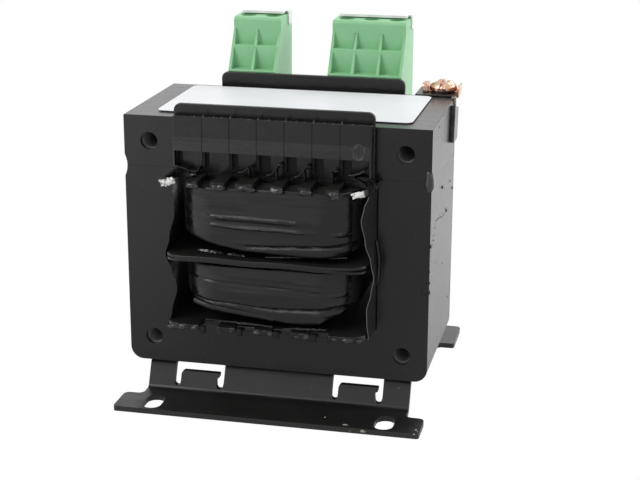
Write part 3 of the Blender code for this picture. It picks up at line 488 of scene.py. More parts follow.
enamel = new_finish("wire_enamel", (0.42, 0.13, 0.05), 0.22, 0.6, coat=0.6)
add_bump(enamel, (900, 2), 0.02, 0.5)

sleeving = new_finish("glass_sleeving", (0.86, 0.86, 0.83), 0.7, specular=0.3)
add_bump(sleeving, (2200, 4, (1, 1, 1), 0.7), 0.06, 0.8)
mix_colour(sleeving, (1100, 3), (0.34, 0.34, 0.32), 0.5, 0.62)
print("pale finishes: label, marker, green, zinc, tin, copper, enamel and sleeving")

# %% [markdown]
# The pieces are modelled as by hand: a primitive at its size and place, shaped in edit
# mode, and finished with modifiers that are applied. Operators act on everything that is
# selected, so each helper first leaves one piece selected alone.

# %% Write the helpers that make a first shape
def alone(*pieces):
    """Selects only these pieces, in object mode."""
    if bpy.context.mode != "OBJECT":
        bpy.ops.object.mode_set(mode="OBJECT")
    bpy.ops.object.select_all(action="DESELECT")
    for piece in pieces:
        piece.select_set(True)
        bpy.context.view_layer.objects.active = piece


def settle(piece):
    """Puts the piece's place, turn and scale into its mesh."""
    alone(piece)
    bpy.ops.object.transform_apply(location=True, rotation=True, scale=True)
    return piece


def block(name, low, high):
    """A box between two corners in millimetres."""
    alone()
    low, high = at(*low), at(*high)
    bpy.ops.mesh.primitive_cube_add(size=1, location=(low + high) / 2, scale=high - low)
    bpy.context.object.name = name
    return settle(bpy.context.object)


def rod(name, start, end, radius, sides=32, radius_end=None):
    """A round bar, or a cone, between two places in millimetres."""
    alone()
    start, end = at(*start), at(*end)
    bpy.ops.mesh.primitive_cone_add(
        vertices=sides,
        radius1=radius * MM,
        radius2=(radius if radius_end is None else radius_end) * MM,
        depth=(end - start).length,
        location=(start + end) / 2,
        rotation=(end - start).to_track_quat("Z", "Y").to_euler(),
    )
    bpy.context.object.name = name
    return settle(bpy.context.object)


def ball(name, place, radii, segments=24, rings=14):
    """A ball pulled to three radii in millimetres."""
    alone()
    bpy.ops.mesh.primitive_uv_sphere_add(segments=segments, ring_count=rings, radius=1, location=at(*place))
    piece = bpy.context.object
    piece.name = name
    piece.scale = Vector(radii) * MM
    return settle(piece)


print("first shapes: block, rod and ball")

# %% [markdown]
# A shape is then cut by other shapes, sliced by planes and rounded. Each of these helpers
# goes into edit mode and comes back out, so that they can follow each other in any order.

# %% Write the helpers that cut and round
def apply(piece, kind, **settings):
    """Adds a modifier with these settings and applies it."""
    alone(piece)
    modifier = piece.modifiers.new(kind.lower(), kind)
    for key, value in settings.items():
        setattr(modifier, key, value)
    bpy.ops.object.modifier_apply(modifier=modifier.name)
    return piece


def combine(piece, *tools, how="DIFFERENCE"):
    """Cuts the tools from the piece, or joins them on, and removes the tools."""
    for tool in tools:
        apply(piece, "BOOLEAN", operation=how, object=tool, solver="EXACT")
        bpy.data.objects.remove(tool, do_unlink=True)
    return piece


def edit_all(piece):
    """Goes into edit mode with everything selected."""
    alone(piece)
    bpy.ops.object.mode_set(mode="EDIT")
    bpy.ops.mesh.select_mode(type="FACE")
    bpy.ops.mesh.select_all(action="SELECT")


def slice_up(piece, start, step, count):
    """Cuts a piece across by planes, each a step further, so that it can be bent finely."""
    edit_all(piece)
    way = Vector(step).normalized()
    for index in range(count):
        bpy.ops.mesh.select_all(action="SELECT")
        bpy.ops.mesh.bisect(plane_co=at(*(Vector(start) + index * Vector(step))), plane_no=way)
    alone(piece)


def pick(piece, test, kind="FACE"):
    """Goes into edit mode with the faces or edges selected that pass the test."""
    alone(piece)
    bpy.ops.object.mode_set(mode="EDIT")
    bpy.ops.mesh.select_mode(type=kind)
    bpy.ops.mesh.select_all(action="DESELECT")
    shell = bmesh.from_edit_mesh(piece.data)
    picked = 0
    for item in shell.faces if kind == "FACE" else shell.edges:
        if kind == "FACE":
            chosen = test((item.calc_center_median() - ORIGIN) / MM, item.normal)
        else:
            ends = [(corner.co - ORIGIN) / MM for corner in item.verts]
            chosen = test((ends[0] + ends[1]) / 2, (ends[1] - ends[0]).normalized())
        item.select_set(bool(chosen))
        picked += bool(chosen)
    shell.select_flush_mode()
    bmesh.update_edit_mesh(piece.data)
    return picked


def round_edges(piece, test, radius, segments=4):
    """Rounds the edges that pass the test."""
    if pick(piece, test, "EDGE"):
        bpy.ops.mesh.bevel(offset=radius * MM, segments=segments, profile=0.5, affect="EDGES")
    alone(piece)
    return piece


def clean(piece):
    """Merges flat faces that a cut has split, so that a bevel runs along whole edges."""
    edit_all(piece)
    bpy.ops.mesh.remove_doubles(threshold=1e-6)
    bpy.ops.mesh.select_all(action="SELECT")
    bpy.ops.mesh.dissolve_limited(angle_limit=math.radians(0.5))
    alone(piece)
    return piece


def soften(piece, width, segments=2, degrees=35):
    """A fine round on every sharp edge, which is what makes a real edge catch the light."""
    settings = dict(limit_method="ANGLE", angle_limit=math.radians(degrees), use_clamp_overlap=True)
    return apply(piece, "BEVEL", width=width * MM, segments=segments, **settings)


print("cuts: combine and slice_up, rounds: round_edges and soften")

# %% [markdown]
# Some pieces start as a copy of another, or of a solid of the model, whose loose triangles
# are merged first. A bar that bends is a curve, turned into a mesh.

# %% Write the helpers that copy, join and bend
def copy_of(piece, name):
    """A copy with its own mesh."""
    alone(piece)
    bpy.ops.object.duplicate()
    twin = bpy.context.object
    twin.name = name
    return twin


def join(name, *pieces):
    """Several pieces as one object."""
    alone(*pieces)
    bpy.ops.object.join()
    whole = bpy.context.object
    whole.name = name
    return whole


def solid_copy(node, name):
    """A merged copy of a solid of the model, ready for finer work."""
    twin = copy_of(nodes[node], name)
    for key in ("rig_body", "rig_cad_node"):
        if key in twin:
            del twin[key]
    twin.parent = None
    return clean(twin)


def tube(name, points, radius):
    """A round bar along a smooth curve through places in millimetres."""
    curve = bpy.data.curves.new(name, "CURVE")
    curve.dimensions = "3D"
    curve.bevel_depth = radius * MM
    curve.bevel_resolution = 4
    curve.resolution_u = 6
    curve.use_fill_caps = True
    spline = curve.splines.new("BEZIER")
    spline.bezier_points.add(len(points) - 1)
    for knot, place in zip(spline.bezier_points, points):
        knot.co = at(*place)
        knot.handle_left_type = knot.handle_right_type = "AUTO"
    piece = bpy.data.objects.new(name, curve)
    bpy.context.scene.collection.objects.link(piece)
    alone(piece)
    bpy.ops.object.convert(target="MESH")
    edit_all(piece)
    bpy.ops.mesh.remove_doubles(threshold=1e-6)
    alone(piece)
    return piece


print("copies: copy_of and solid_copy, bars: tube")

# %% [markdown]
# Nothing real is quite even. Noise moves corners by their place, so it gives the same
# shape on every run.

# %% Write the helpers for uneven shapes
def rough(place, waves, seed=0.0):
    """A smooth random number from -1 to 1 at a place, in waves per millimetre."""
    return noise.noise(Vector(place) * waves + Vector((seed, seed, seed)))


def held(value):
    """The value held between 0 and 1."""
    return max(0.0, min(1.0, value))


def along_knots(knots, value):
    """The height at a value, along knots joined by straight lines."""
    if value <= knots[0][0]:
        return knots[0][1]
    for (start, low), (end, high) in zip(knots, knots[1:]):
        if value <= end:
            return low + (high - low) * (value - start) / (end - start)
    return knots[-1][1]


def corners(piece):
    """Each corner of a piece, with its place in millimetres."""
    for corner in piece.data.vertices:
        yield corner, (corner.co - ORIGIN) / MM


def dented(piece, *dents):
    """Pushes the corners in and out by noise. A dent is a depth in mm, its waves and a seed."""
    ways = [corner.normal.copy() for corner in piece.data.vertices]
    for (corner, place), way in zip(corners(piece), ways):
        corner.co += way * MM * sum(depth * rough(place, waves, seed) for depth, waves, seed in dents)
    return piece


print("noise at the core's corner:", round(rough((0.5, 0.5, 0.5), 1.0), 3))

# %% [markdown]
# At the end a piece gets its finish, rides on the body and hides the solids that it stands
# for. Some of its faces may then be painted with a second finish.

# %% Write the helpers that finish a piece
def finished(piece, material, slot, *replaced, degrees=35, outward=True):
    """Gives a piece its finish, lets it ride on the body, and hides the solids it stands for."""
    if outward:
        edit_all(piece)
        bpy.ops.mesh.normals_make_consistent(inside=False)
    settle(piece)
    piece.data.materials.clear()
    piece.data.materials.append(material)
    bpy.ops.object.shade_smooth_by_angle(angle=math.radians(degrees))
    # Large flat faces keep their own direction, and only the fine rounds beside them bend it
    apply(piece, "WEIGHTED_NORMAL", keep_sharp=True)
    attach(piece, "root")
    if replaced:
        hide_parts(*replaced)
    size = [round(side / MM, 1) for side in piece.dimensions]
    print(piece.name, size, "mm,", len(piece.data.polygons), "faces")
    return piece


def paint(piece, material, test):
    """Gives the faces that pass the test a second finish."""
    piece.data.materials.append(material)
    number = len(piece.data.materials) - 1
    for face in piece.data.polygons:
        if test((face.center - ORIGIN) / MM, face.normal):
            face.material_index = number
    return piece


print("a piece ends with finished, and paint adds a second finish")

# %% [markdown]
# The core is a stack of punched sheets, E-shaped ones below and straight ones on top. One
# sheet is made in full: a box, its windows and holes cut out, and its rim chamfered. Then
# its open rim is repeated through the stack by an array, and the two ends are closed, so
# that the sides show every sheet and the front stays one plain face.

# %% Write the steps from one sheet to a stack
SHEET = 0.5
SHEETS = round(CORE_DEPTH / SHEET)
SHEET_PITCH = CORE_DEPTH / SHEETS
JOINT = (node_box("core_i_stack")[0].z + node_box("core_e_stack")[1].z) / 2
HOLE_RADIUS = 2.4
HOLE_INSET = 7.0
# How far in from both ends of a hole the lighter painted light starts
HOLE_LIGHT_FROM_ENDS = 1.5
GROOVE_RADIUS = 6.8
GROOVE_DEPTH = 0.7
RIM = 0.03
SHEET_SHIFT = 0.018
AHEAD, BEHIND = -5, 50
TINY = 0.001


def through(place, direction):
    """True for an edge that runs through the stack."""
    return abs(direction.y) > 0.9


def weld_groove():
    """A wide cylinder that hollows the left side, where the weld was laid in a groove."""
    axis = CORE_SIDE - GROOVE_DEPTH + GROOVE_RADIUS
    return rod("groove", (-axis, AHEAD, JOINT), (-axis, BEHIND, JOINT), GROOVE_RADIUS, 96)


def screw_holes(height):
    """Two bars that cut the holes near the corners."""
    across = CORE_SIDE - HOLE_INSET
    return [rod("hole", (x, AHEAD, height), (x, BEHIND, height), HOLE_RADIUS, 40) for x in (-across, across)]


def in_a_hole(place, normal):
    """True on the wall of one of the four holes."""
    across = abs(place.x) - CORE_SIDE + HOLE_INSET
    upwards = min(abs(place.z - HOLE_INSET), abs(place.z - CORE_TOP + HOLE_INSET))
    return abs(normal.y) < 0.6 and math.hypot(across, upwards) < HOLE_RADIUS + 0.05


def lightened_deep_in_holes(place, normal):
    """True deep in a hole, where a much lighter tone is painted as the light that does not reach in."""
    return in_a_hole(place, normal) and HOLE_LIGHT_FROM_ENDS < place.y < CORE_DEPTH - HOLE_LIGHT_FROM_ENDS


def on_sheet_edges(place, normal):
    """True where the stack shows the edges of its sheets, outside the holes."""
    return abs(normal.y) < 0.6 and not in_a_hole(place, normal)


def stacked(sheet, name, node):
    """The sheet's rim repeated through the stack, both ends closed, and its finishes."""
    clean(sheet)
    round_edges(sheet, lambda place, direction: abs(direction.y) < 0.1, RIM, 1)
    pick(sheet, lambda place, normal: abs(normal.y) > 0.99)
    bpy.ops.mesh.delete(type="FACE")
    alone(sheet)
    apply(
        sheet, "ARRAY", count=SHEETS, use_relative_offset=False, use_constant_offset=True,
        constant_offset_displace=(0, SHEET_PITCH * MM, 0), use_merge_vertices=True, merge_threshold=1e-5,
    )
    for end in (0, CORE_DEPTH):
        pick(sheet, lambda place, direction: abs(place.y - end) < TINY and abs(direction.y) < 0.1, "EDGE")
        bpy.ops.mesh.fill(use_beauty=True)
        alone(sheet)
    # Each sheet sits a hair in or out of line
    outward = [corner.normal.copy() for corner in sheet.data.vertices]
    for (corner, place), way in zip(corners(sheet), outward):
        index = round(place.y / SHEET_PITCH - 0.5)
        if TINY < place.y < CORE_DEPTH - TINY and 0 < index < SHEETS - 1:
            corner.co += way * SHEET_SHIFT * MM * noise.noise(Vector((index * 3.7, place.z * 0.02, 1.3)))
    sheet.name = name
    finished(sheet, lacquer, "core", node, degrees=30)
    paint(sheet, sheet_edges, on_sheet_edges)
    # The holes take painted light, lighter still deep inside
    paint(sheet, painted_light_hole_front, in_a_hole)
    return paint(sheet, painted_light_hole_deep, lightened_deep_in_holes)


print(SHEETS, "sheets,", round(SHEET_PITCH, 3), "mm each")

# %% [markdown]
# The E sheet has two windows and rounded lower corners, and the straight sheet sharper
# ones. Both are hollowed by the same weld groove, since the joint runs through it.

# %% Stack the E sheets and the straight sheets
LEG_SIDE, WINDOW_SIDE, WINDOW_LOW = 14.0, 28.0, 14.0
LOW_CORNER, TOP_CORNER = 3.6, 0.25
e_sheet = block("e_sheet", (-CORE_SIDE, 0, 0), (CORE_SIDE, SHEET_PITCH, JOINT))
for left, right in ((-WINDOW_SIDE, -LEG_SIDE), (LEG_SIDE, WINDOW_SIDE)):
    combine(e_sheet, block("window", (left, AHEAD, WINDOW_LOW), (right, -AHEAD, CORE_TOP)))
round_edges(e_sheet, lambda place, way: through(place, way) and place.z < 0.1, LOW_CORNER, 8)
combine(e_sheet, *screw_holes(HOLE_INSET), weld_groove())
stacked(e_sheet, "core_lower_sheets", "core_e_stack")

i_sheet = block("i_sheet", (-CORE_SIDE, 0, JOINT), (CORE_SIDE, SHEET_PITCH, CORE_TOP))
round_edges(i_sheet, lambda place, way: through(place, way) and place.z > CORE_TOP - 0.1, TOP_CORNER, 2)
combine(i_sheet, *screw_holes(CORE_TOP - HOLE_INSET), weld_groove())
i_stack = stacked(i_sheet, "core_upper_sheets", "core_i_stack")
# The top of the stack takes the painted sheen
paint(i_stack, core_top_sheen_and_specks, lambda place, normal: place.z > CORE_TOP - 0.5 and normal.z > 0.7)

# %% [markdown]
# A bead of weld runs along the joint on each side. It is a bar whose surface ripples where
# the torch paused. On the left it lies in a groove. On the right it is ground nearly flush
# and starts with a proud blob at the front corner.

# %% Lay the weld beads
BEAD_RADIUS = 1.35
BEAD_HEIGHT = 1.6
BEAD_RIPPLES = 70
BEAD_TIP = 0.35
TIP_LENGTH = 1.5
RIPPLE_PITCH = 1.3


def bead(name, side, start, end, depth, ripple, wander):
    """One rippled bead along the joint, with its axis so deep under the side."""
    across = side * (CORE_SIDE - depth)
    piece = rod(name, (across, start, JOINT), (across, end, JOINT), BEAD_RADIUS, 20)
    pick(piece, through, "EDGE")
    bpy.ops.mesh.subdivide(number_cuts=BEAD_RIPPLES)
    alone(piece)
    axis = at(across, 0, JOINT)
    for corner, place in corners(piece):
        swell = 1 + ripple * math.cos(2 * math.pi * place.y / RIPPLE_PITCH) + wander * rough(place, 0.35)
        swell *= min(1, BEAD_TIP + min(place.y - start, end - place.y) / TIP_LENGTH)
        corner.co.x = axis.x + (corner.co.x - axis.x) * swell
        corner.co.z = axis.z + (corner.co.z - axis.z) * swell * BEAD_HEIGHT
    return piece


left_bead = bead("weld_bead_left", -1, 2.2, 42.2, 1.75, 0.10, 0.22)
finished(left_bead, weld_lacquer, "weld", "seam_left", degrees=60)
right_bead = bead("weld_bead_right", 1, 1.0, 42.2, 1.33, 0.012, 0.06)
finished(right_bead, sheet_edges, "weld", "seam_right", degrees=60)
blob = dented(ball("weld_blob", (41.2, 0.75, 56.0), (1.4, 1.25, 3.5), 28, 18), (0.22, 0.5, 0.0))
finished(blob, weld_lacquer, "weld", degrees=80)

# %% [markdown]
# The coil former is one moulding of black plastic. Its tube sits on the core's middle leg,
# and three flanges divide the winding space. In front of the core the flanges reach a
# little further left than right. The divider is two thin plates that lie together and part
# at the rounded corners, so it is one plate with its ends slit and spread.

# %% Write the steps of a flange
FLANGE_SIDE = 27.2
FLANGE_FRONT = -12.0
FLANGE_CORNER = 4.6
FLANGE_REACH = 0.8
REACH_FROM, REACH_FADE = 20, 6
TUBE_SIDE = 15.5
TUBE_FRONT = -1.5
MIRROR = CORE_DEPTH / 2
SLICE = 1.3
SLICED_HALF = 28
LEVEL = 0.8
FRONT_AND_BACK = ((FLANGE_FRONT, 1), (CORE_DEPTH - FLANGE_FRONT, -1))


def upright(place, direction):
    """True for an edge that stands upright."""
    return abs(direction.z) > 0.9


def around_core(name, side, front, low, high):
    """A block that reaches as far past the core in front as it does behind."""
    return block(name, (-side, front, low), (side, CORE_DEPTH - front, high))


def flange(name, low, high):
    """One flange with rounded corners and the core's leg cut out of it."""
    plate = round_edges(around_core(name, FLANGE_SIDE, FLANGE_FRONT, low, high), upright, FLANGE_CORNER, 10)
    return combine(plate, around_core("leg", TUBE_SIDE, TUBE_FRONT, low - 2, high + 2))


def finely_cut(plate, step=SLICE):
    """Slices a flange across its width, so that it can be bent and roughened."""
    slice_up(plate, (step - SLICED_HALF, 0, 0), (step, 0, 0), round(2 * SLICED_HALF / step) - 1)


def front_share(place):
    """0 inside the core and 1 at the front and back edges of a flange."""
    return held((abs(place.y - MIRROR) - MIRROR - 2) / 9)


def reach_out(plate):
    """Moves the left end of the front half, and its twin at the back, a little outwards."""
    for corner, place in corners(plate):
        way = 1 if place.y < MIRROR else -1
        share = held((-way * place.x - REACH_FROM) / REACH_FADE) * min(1.0, 3 * front_share(place))
        corner.co.x -= way * FLANGE_REACH * share * MM
    return plate


print("flanges reach", -FLANGE_FRONT, "mm past the core")

# %% [markdown]
# The tube is a plain sleeve. The divider's slits start a little way in from its corners,
# and the two leaves between them are spread more and more towards the corner.

# %% Model the tube and the divider
LEG_CLEARANCE = 0.3
TUBE_LOW, TUBE_HIGH = 14.6, 55.4
tube_wall = around_core("former_tube", TUBE_SIDE, TUBE_FRONT, TUBE_LOW, TUBE_HIGH)
combine(tube_wall, around_core("leg", LEG_SIDE + LEG_CLEARANCE, -LEG_CLEARANCE, 0, 70))
finished(tube_wall, moulding, "former", "coil_former")

DIVIDER_LOW, DIVIDER_HIGH = 33.15, 34.8
DIVIDER_MIDDLE = (DIVIDER_LOW + DIVIDER_HIGH) / 2
SLIT_HALF = 0.05
SLIT_DEPTH = 8
SLIT_LEFT, SLIT_RIGHT = -24.0, 19.0
PARTING = 0.34
divider = soften(clean(flange("former_divider", DIVIDER_LOW, DIVIDER_HIGH)), 0.3, 3)
for y, way in FRONT_AND_BACK:
    for start, end in ((-29, SLIT_LEFT), (SLIT_RIGHT, 29)):
        left, right = sorted((start * way, end * way))
        near, far = sorted((y - way, y + way * SLIT_DEPTH))
        low, high = DIVIDER_MIDDLE - SLIT_HALF, DIVIDER_MIDDLE + SLIT_HALF
        combine(divider, block("slit", (left, near, low), (right, far, high)))
finely_cut(divider)
reach_out(divider)
for corner, place in corners(divider):
    along = place.x if place.y < MIRROR else -place.x
    outward = max(0.0, (along - SLIT_RIGHT) / 8, (SLIT_LEFT - along) / 4)
    spread = PARTING * min(1.0, outward) ** 1.5 * (1 if place.z > DIVIDER_MIDDLE else -1)
    lean = 0.4 * held((12 - along) / 36) + 0.12 * math.sin(along * 0.3)
    corner.co.z += MM * front_share(place) * (spread + lean)
finished(divider, moulding, "former")
# The divider's level faces take the painted shade
paint(divider, painted_shade_moulding, lambda place, normal: abs(normal.z) > LEVEL)

# %% [markdown]
# The two outer flanges have tabs between deep gaps, where the leads pass. Varnish has run
# to the tips of the tabs and hardened in lumps, so each front edge is roughened.

# %% Cut the tabs and roughen their tips
LOW_FLANGE = (14.35, 15.9)
NOTCH_PITCH = 10.15
NOTCH_SHIFT = -0.65
NOTCH_WIDTH = 4.9
NOTCH_DEPTHS = (5.5, 2.0, 2.0, 2.0)
NIB_WIDTH = 1.7
NIB_HALF = 0.7
HIGH_FLANGE = (54.1, 55.7)
GAP_DEPTH = 9.5
HIGH_GAPS = (
    (-26.6, -21.0), (-17.9, -14.4), (-10.7, -7.7), (-2.9, 1.6), (4.9, 9.2), (12.3, 16.4), (19.8, 26.2),
)
TIP_FROM, TIP_FADE = 10.4, 1.6
notches = [NOTCH_SHIFT + (index - 1.5) * NOTCH_PITCH for index in range(len(NOTCH_DEPTHS))]
low_gaps = [(x - NOTCH_WIDTH / 2, x + NOTCH_WIDTH / 2) for x in notches]


def short_of_the_tips(place, normal):
    """True on the level faces of a flange, up to where its lumpy tips start."""
    return abs(normal.z) > LEVEL and abs(place.y - MIRROR) < MIRROR + TIP_FROM + TIP_FADE / 2


def with_tabs(name, low, high, gaps, depths, swell):
    """A flange with gaps cut from its front and back edges and lumpy tips between them."""
    plate = flange(name, low, high)
    for y, way in FRONT_AND_BACK:
        for (start, end), depth in zip(gaps, depths):
            left, right = sorted((start * way, end * way))
            combine(plate, block("gap", (left, y - depth, low - 2), (right, y + depth, high + 2)))
    soften(clean(plate), 0.35, 3)
    finely_cut(plate, 0.5)
    reach_out(plate)
    for corner, place in corners(plate):
        tip = max(0.0, (abs(place.y - MIRROR) - MIRROR - TIP_FROM) / TIP_FADE)
        lump = swell * rough((place.x * 0.45, place.y * 0.3, place.z * 0.3), 1.0, low)
        fine = rough((place.x * 1.3, place.y * 0.8, place.z * 0.8), 1.0, low + 3)
        corner.co.z += MM * tip * (0.45 * lump + 0.16 * fine)
        corner.co.y += MM * tip * (0.5 * lump + 0.12 * fine) * (1 if place.y > MIRROR else -1)
    finished(plate, moulding, "former", degrees=50)
    # The level faces up to the tips take the painted shade
    paint(plate, painted_shade_moulding, short_of_the_tips)


with_tabs("former_low_flange", *LOW_FLANGE, low_gaps, NOTCH_DEPTHS, 0.7)
with_tabs("former_high_flange", *HIGH_FLANGE, HIGH_GAPS, [GAP_DEPTH] * len(HIGH_GAPS), 1.0)

nibs = []
for x in notches:
    for y, way in FRONT_AND_BACK:
        start = way * (x - NOTCH_WIDTH / 2) - (NIB_WIDTH if way < 0 else 0)
        middle = y + way * NIB_HALF
        low = (start, middle - NIB_HALF, LOW_FLANGE[0] - 0.9)
        high = (start + NIB_WIDTH, middle + NIB_HALF, LOW_FLANGE[1] - 0.3)
        nibs.append(soften(block("nib", low, high), 0.3, 2))
# The nibs under the tabs take the painted shade
finished(join("former_nibs", *nibs), painted_shade_moulding, "former")

# %% [markdown]
# Above the windings a plate stands against the core's face, at the front and again at the
# back, and carries a strip of seven lead chambers. The strip is a bar. Its chambers are
# cut from below, so that a panel stays in front and thin ribs stay between them. Its top
# edge has a pale painted highlight, its lower third is rubbed, and small burrs stand at the grooves.

# %% Write the steps of the plates and the chamber strips
PLATE_FRONT, PLATE_BACK = -2.0, -0.4
PLATE_SIDE = 27.2
PLATE_LOW, PLATE_HIGH = 55.0, 74.1
STRIP_SIDE = 26.9
STRIP_FRONT = -4.7
PANEL_LOW, RIB_LOW, STRIP_HIGH = 62.0, 57.4, 71.2
PANEL_WALL = 1.0
PANEL_SWELL = 0.25
LID_SLOPE = 0.3
RUBBED_HIGH = 65.4
RIB_WIDTH = 0.6
RIB_SET_BACK = 1.5
PITCH = 7.45
CHAMBERS = 7
GROOVE = 0.17
BELOW = 50
# Widths of the dark pads that stand for the ribs' shadows on the chambers' back walls
SHADOW_PAD_WIDTHS = (0.9, 0.8, 1.3, 2.7, 2.3, 2.1, 2.3)
BURRS = ((0.2, 0.75), (3.1, 0.2), (-2.2, 0.15))


def make_plate(name):
    """The upright plate, with rounded upper corners and soft edges."""
    plate = block(name, (-PLATE_SIDE, PLATE_FRONT, PLATE_LOW), (PLATE_SIDE, PLATE_BACK, PLATE_HIGH))
    round_edges(plate, lambda place, way: through(place, way) and place.z > 70, 1.9, 8)
    return soften(plate, 0.35, 3)


def rib_at(index):
    """Where the rib on the left of a chamber stands."""
    return (index - CHAMBERS / 2) * PITCH


def chamber_tools():
    """What is cut from the strip: rooms, their mouths, and a groove at each rib."""
    back = PLATE_FRONT - 0.05
    tools = []
    for index in range(CHAMBERS):
        left, right = rib_at(index) + RIB_WIDTH / 2, rib_at(index + 1) - RIB_WIDTH / 2
        tools.append(block("room", (left, STRIP_FRONT + PANEL_WALL, BELOW), (right, back, STRIP_HIGH - 1.0)))
        tools.append(block("mouth", (left, -10, BELOW), (right, back, PANEL_LOW)))
    inside = STRIP_SIDE - RIB_WIDTH
    tools.append(block("set_back", (-inside, -10, BELOW), (inside, STRIP_FRONT + RIB_SET_BACK, PANEL_LOW)))
    y = STRIP_FRONT - 0.04
    for x in map(rib_at, range(1, CHAMBERS)):
        tools.append(rod("groove", (x, y, BELOW), (x, y, 80), GROOVE, 10))
    return tools


def strip_trimmings():
    """Dark pads of painted shadow at the left of each chamber, and pointed burrs at the top of the grooves.
    """
    for index, width in enumerate(SHADOW_PAD_WIDTHS):
        start = rib_at(index) + RIB_WIDTH / 2
        low = (start - 1.1, PLATE_FRONT - 0.25, RIB_LOW - 0.6)
        yield block("shadow_pad", low, (start + width, PLATE_FRONT, PANEL_LOW + 1))
    for index in range(1, CHAMBERS):
        for shift, height in BURRS:
            x = rib_at(index) + shift
            tip = (x + 0.2, STRIP_FRONT + 0.6, 71.3 + height)
            yield rod("burr", (x, STRIP_FRONT + 0.5, 71.0), tip, 0.34, 7, 0.05)


def make_strip(name):
    """The strip of chambers in front of the plate."""
    strip = block(name, (-STRIP_SIDE, STRIP_FRONT, RIB_LOW), (STRIP_SIDE, PLATE_FRONT + 0.1, STRIP_HIGH))
    round_edges(strip, lambda place, direction: upright(place, direction) and place.y < -4, 0.55, 4)
    combine(strip, *chamber_tools())
    slice_up(strip, (0, 0, PANEL_LOW + 0.9), (0, 0, 0.7), 5)
    for corner, place in corners(strip):
        if place.z > STRIP_HIGH - 0.1:
            corner.co.z -= MM * LID_SLOPE * (place.y - STRIP_FRONT) / (PLATE_FRONT - STRIP_FRONT)
        if place.z > PANEL_LOW - 0.1 and place.y < STRIP_FRONT + 0.5:
            corner.co.y -= MM * PANEL_SWELL * held((RUBBED_HIGH + 0.8 - place.z) / 1.6)
    return join(name, soften(strip, 0.16, 2), *strip_trimmings())


print(CHAMBERS, "chambers,", PITCH, "mm apart")

# %% [markdown]
# The back has the same plate and strip, turned round. One pair is modelled and mirrored,
# and both get their finishes in one loop. Above the core, what faces forward at the back
# is rubbed, and the ribs' front edges and the pads get a matt painted shade.

# %% Make the plates and strips for the front and the back
def mirrored(piece, name):
    """The same piece at the back of the core."""
    twin = copy_of(piece, name)
    for corner in twin.data.vertices:
        corner.co.y = 2 * (ORIGIN.y + MIRROR * MM) - corner.co.y
        corner.co.x = 2 * ORIGIN.x - corner.co.x
    return twin


def as_in_front(place):
    """How far back a place lies, or would lie if it were mirrored to the front."""
    return MIRROR - abs(place.y - MIRROR)


def outer(place):
    """True on the outside half of a strip, away from the core."""
    return as_in_front(place) < STRIP_FRONT + 0.9


def is_rubbed(place, normal):
    """True on the lower third of a panel, outside."""
    return place.z < RUBBED_HIGH and outer(place) and abs(normal.y) > 0.7


def in_painted_shade(place, normal):
    """True on the pads of painted shadow and on the ribs' front edges, which take painted shade."""
    depth = as_in_front(place)
    on_a_pad = PLATE_FRONT - 0.3 < depth < PLATE_FRONT - 0.2
    return on_a_pad or place.z < PANEL_LOW - 0.1 and abs(depth - STRIP_FRONT - RIB_SET_BACK) < 0.3


front_plate = make_plate("former_front_plate")
front_strip = make_strip("former_front_strip")
for piece, name in ((front_plate, "former_rear_plate"), (front_strip, "former_rear_strip")):
    for half in (mirrored(piece, name), piece):
        finished(half, moulding, "former")
        paint(half, rubbed, lambda place, normal: place.y > MIRROR and normal.y < -0.7 and place.z > CORE_TOP)
        if piece is front_strip:
            paint(half, rubbed, is_rubbed)
            # Painted highlight on the strip's top edge
            paint(half, pale_wear_and_light, lambda place, normal: place.z > STRIP_HIGH - 0.25 and outer(place))
            # The pads and the ribs' front edges take the painted shade
            paint(half, painted_shade_moulding, in_painted_shade)

# %% [markdown]
# The panel's right end was scratched in an oval: a few thin rings, flattened into the
# surface and pulled out of round.

# %% Scratch the panel
SCUFF_AT = (23.55, STRIP_FRONT - 0.22, 64.2)
SCUFFS = ((1.75, 2.0, 0.10), (1.35, 1.75, 0.07), (1.6, 1.2, 0.06))
scuffs = []
for index, (across, upwards, thickness) in enumerate(SCUFFS):
    alone()
    bpy.ops.mesh.primitive_torus_add(
        major_segments=48, minor_segments=8, major_radius=1.0, minor_radius=thickness,
        location=at(*SCUFF_AT), rotation=(math.radians(90), 0, 0),
    )
    ring = bpy.context.object
    ring.scale = Vector((across, upwards, 1.0)) * MM
    settle(ring)
    for corner, place in corners(ring):
        corner.co.x += MM * 0.5 * rough(place, 0.8, 5.0 + index)
        corner.co.z += MM * 0.5 * rough(place, 0.8, 9.0 + index)
    scuffs.append(ring)
finished(join("former_scuff", *scuffs), pale_wear_and_light, "former", degrees=60)

# %% [markdown]
# Where the leads come up from the windings, each chamber has a small moulded guide: a lip
# that lies flat, climbs in an S and curls over the wire, with a thin wall under the curl.
# Each is drawn as a profile and thickened, and the middle two share one profile. The first
# two chambers have plain ledges instead, and the last a flap.

# %% Model the lead guides of all the chambers
GUIDE_WALL = 0.5
GUIDE_DEPTH = (-4.6, -2.1)
UNDER_DEPTH = (-6.2, -4.2)


def lip(name, path, wall, depth, shift=0.0):
    """A strip that follows a path across and up, thickened and softened."""
    alone()
    bpy.ops.mesh.primitive_grid_add(x_subdivisions=len(path) - 1, y_subdivisions=1, size=1)
    strip = bpy.context.object
    strip.name = name
    for corner in strip.data.vertices:
        across, upwards = path[round((corner.co.x + 0.5) * (len(path) - 1))]
        corner.co = at(across + shift, depth[0] if corner.co.y < 0 else depth[1], upwards)
    apply(strip, "SOLIDIFY", thickness=wall * MM, offset=0)
    return soften(strip, wall * 0.3, 2, 50)


